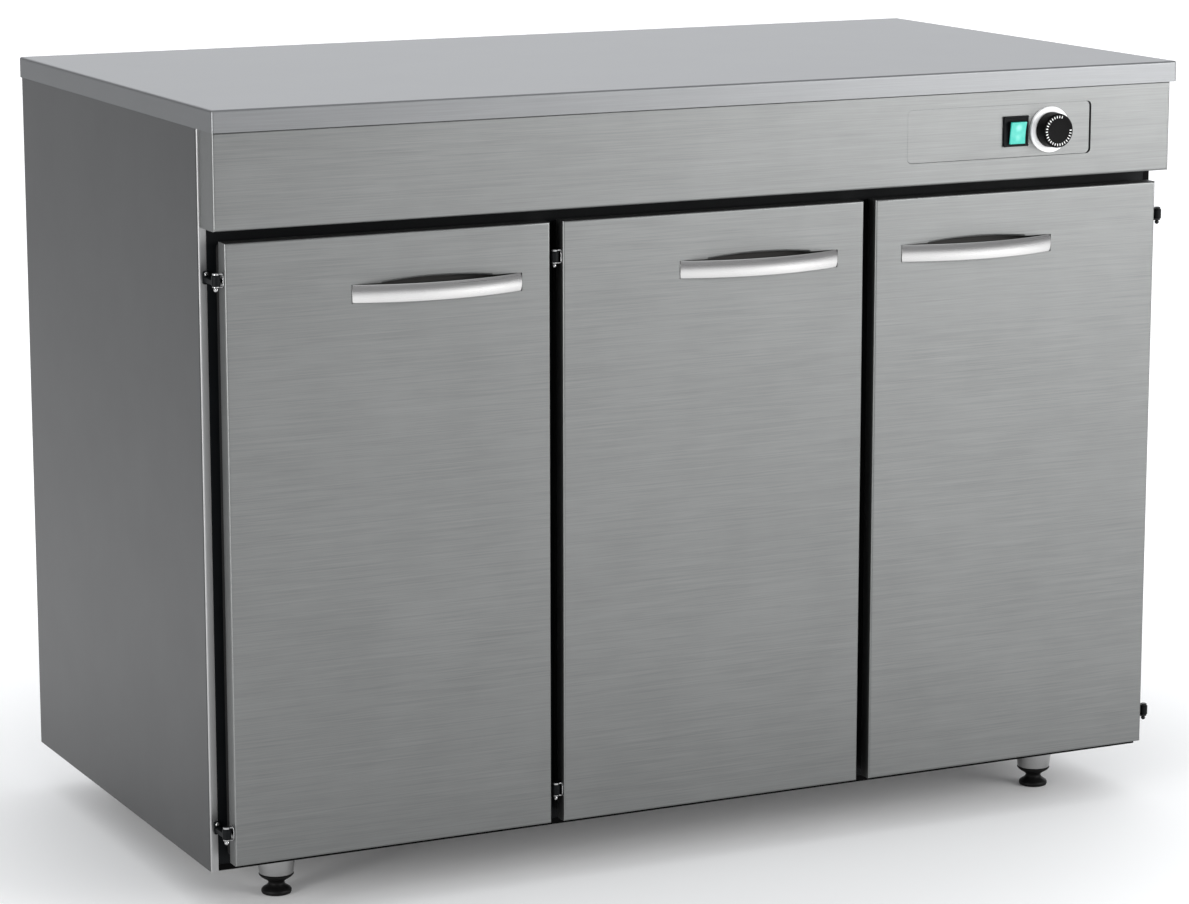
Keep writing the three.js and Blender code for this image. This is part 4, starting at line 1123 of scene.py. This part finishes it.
# Feet: a bored socket, and a pad with a cup under the socket and a threaded stem in it
footLook = {
    "sides": 72,
    "collarTaper": 3.8 * mm,
    "rim": 1.0 * mm,
    "bore": 7.5 * mm,
    "roof": 1.5 * mm,
    "cupGap": 0.3 * mm,
    "stem": 6.4 * mm,
    "threadDepth": 0.8 * mm,
    "pitch": 1.75 * mm,
    # radius and height above the floor, in mm
    "pad": [(14.8, 0), (16.3, 0.6), (17, 2.2), (17, 4.2), (16.3, 5.6), (14, 7.2), (10.8, 9.2),
            (9.3, 11.5)],
    # radius and depth under the cup's brim, in mm
    "cup": [(9, 10.5), (10, 8.6), (12.5, 6.8), (15.5, 5), (18, 3.2), (19.4, 1.6), (19.7, 0.5),
            (19.2, 0)],
}


def makeSocket():
    low, high = sizes("foot_socket_front_left")
    rim, bore = footLook["rim"], footLook["bore"]
    radius = (high.x - low.x) / 2
    collar = radius - footLook["collarTaper"]
    rings = [(bore, high.z - footLook["roof"]), (bore, low.z), (collar - rim, low.z),
             (collar - rim / 4, low.z + rim / 4), (collar, low.z + rim),
             (radius - rim / 4, high.z - rim), (radius - rim, high.z)]
    return turned("socket_model", rings, footLook["sides"])


def makeFoot():
    brim = sizes("foot_socket_front_left")[0].z - footLook["cupGap"]
    stemTop = sizes("levelling_foot_front_left")[1].z
    rings = [(radius * mm, height * mm) for radius, height in footLook["pad"]]
    rings += [(radius * mm, brim - depth * mm) for radius, depth in footLook["cup"]]
    stem, root = footLook["stem"], footLook["stem"] - footLook["threadDepth"]
    pitch, level = footLook["pitch"], brim
    while level + pitch < stemTop:
        rings += [(root, level), (stem, level + pitch / 2)]
        level += pitch
    rings += [(root, level), (root, stemTop)]
    return turned("foot_model", rings, footLook["sides"])


def fitFeet():
    socketModel, footModel = makeSocket(), makeFoot()
    for name in footNames:
        low, high = sizes("levelling_foot_" + name)
        spot = ((low.x + high.x) / 2, (low.y + high.y) / 2, 0)
        socket = twin(socketModel, "socket_" + name, spot)
        settle(socket, "cabinet", "chrome", finishes["chrome"], "foot_socket_" + name, angle=40)
        base = twin(footModel, "foot_base_" + name, spot)
        settle(base, "foot_" + name, "foot_black", finishes["foot_black"],
               "levelling_foot_" + name, angle=40)
    drop(socketModel, footModel)


fitFeet()
print("feet made")


# Camera at the photograph's view
cameraLook = {"spot": (-2.0156, -4.1415, 1.3401), "yaw": 25.92, "pitch": 11.257, "roll": 0.036,
              "lens": 118.62, "sensor": 36, "reach": 200}


def setCamera():
    data = bpy.data.cameras.new("view")
    data.sensor_fit = "HORIZONTAL"
    data.sensor_width = cameraLook["sensor"]
    data.lens = cameraLook["lens"]
    data.clip_end = cameraLook["reach"]
    camera = bpy.data.objects.new("view", data)
    bpy.context.scene.collection.objects.link(camera)
    camera.location = cameraLook["spot"]
    camera.rotation_euler = (math.radians(90 - cameraLook["pitch"]),
                             math.radians(cameraLook["roll"]), math.radians(-cameraLook["yaw"]))
    bpy.context.scene.camera = camera


# The lamps pass by the polished strips, which mirror only the floor and the room
def spareHandles(lamp):
    strips = bpy.data.collections.new(lamp.name + "_spares")
    for door in doorNames:
        strips.objects.link(bpy.data.objects["handle_" + door])
    lamp.light_linking.receiver_collection = strips
    for entry in strips.collection_objects:
        entry.light_linking.link_state = "EXCLUDE"


lampLook = {
    "keyRight": {"spot": (2.6, -3.0, 1.4), "target": (0.3, -0.3, 0.7), "size": (2.4, 1.4),
                 "power": 97},
    "edgeLeft": {"spot": (-3.2, -1.5, 0.9), "target": (-0.4, -0.2, 0.7), "size": (0.5, 1.5),
                 "power": 58},
}


def softLight(name, spot, target, size, power):
    data = bpy.data.lights.new(name, "AREA")
    data.shape = "RECTANGLE"
    data.size, data.size_y = size
    data.energy = power
    lamp = bpy.data.objects.new(name, data)
    bpy.context.scene.collection.objects.link(lamp)
    lamp.location = spot
    lamp.rotation_euler = (Vector(target) - Vector(spot)).to_track_quat("-Z", "Y").to_euler()
    lamp.visible_camera = False
    spareHandles(lamp)


# Pale floor with painted light: its glow grows away from the cabinet, leaving the shadow near it, and fades far to
# the left as painted shade there
floorLook = {"span": 80.0, "low": shade(0.86), "high": shade(0.88), "cloud": 0.4,
             "cloudDetail": 3.0, "roughness": 0.8, "near": shade(0.1), "glow": shade(1.0),
             "lift": 0.42, "shadeTo": 0.5, "whiteFrom": 1.4, "dimLeft": -2.6, "whiteLeft": -0.9}


def setFloor():
    clearSelection()
    bpy.ops.mesh.primitive_plane_add(size=floorLook["span"], location=(0, 0, 0))
    floor = bpy.context.active_object
    floor.name = "studio_floor"
    finish, shader, maker = beginFinish("paleFloor")
    cloud = evenGrain(maker, floorLook["cloud"], floorLook["cloudDetail"])
    lead(blendColour(maker, cloud, floorLook["low"], floorLook["high"]), shader, "Base Color")
    shader.inputs["Roughness"].default_value = floorLook["roughness"]
    spot = onPiece(maker)
    away = maker.add("ShaderNodeVectorMath", {"operation": "LENGTH"}, {0: spot}, "Value")
    far = rangeOf(maker, away, floorLook["shadeTo"], floorLook["whiteFrom"], "SMOOTHSTEP")
    inView = rangeOf(maker, partOf(maker, spot, "X"), floorLook["dimLeft"],
                     floorLook["whiteLeft"], "SMOOTHSTEP")
    glow = blendColour(maker, far * inView, floorLook["near"], floorLook["glow"])
    lead(glow, shader, "Emission Color")
    shader.inputs["Emission Strength"].default_value = floorLook["lift"]
    floor.data.materials.append(finish)


# Room: dim round the sides, bright behind the cabinet and overhead
skyLook = {"from": 0.3, "to": 0.85, "dim": (0.32, 0.32, 0.33, 1), "bright": (1.6, 1.62, 1.67, 1),
           "brightWay": (0.5, 0.866, 0.0), "dimUntil": 0.6, "brightFrom": 0.97,
           "zenith": (1.0, 1.02, 1.04, 1)}


def setRoom():
    world = bpy.data.worlds.new("studio")
    bpy.context.scene.world = world
    world.use_nodes = True
    sky = world.node_tree.nodes["Background"]
    maker = Strand(world.node_tree)
    way = maker.add("ShaderNodeTexCoord", {}, {}, "Generated")
    lift = rangeOf(maker, partOf(maker, way, "Z"), skyLook["from"], skyLook["to"], "SMOOTHSTEP")
    across = maker.add("ShaderNodeVectorMath", {"operation": "DOT_PRODUCT"},
                       {0: way, 1: skyLook["brightWay"]}, "Value")
    side = rangeOf(maker, across, skyLook["dimUntil"], skyLook["brightFrom"], "SMOOTHSTEP")
    rim = blendColour(maker, side, skyLook["dim"], skyLook["bright"])
    lead(blendColour(maker, lift, rim, skyLook["zenith"]), sky, "Color")
    sky.inputs["Strength"].default_value = 1.0


setCamera()
setFloor()
setRoom()
for lampName, lampSettings in lampLook.items():
    softLight(lampName, **lampSettings)
bpy.context.scene.view_settings.view_transform = "Standard"
print("stage set")
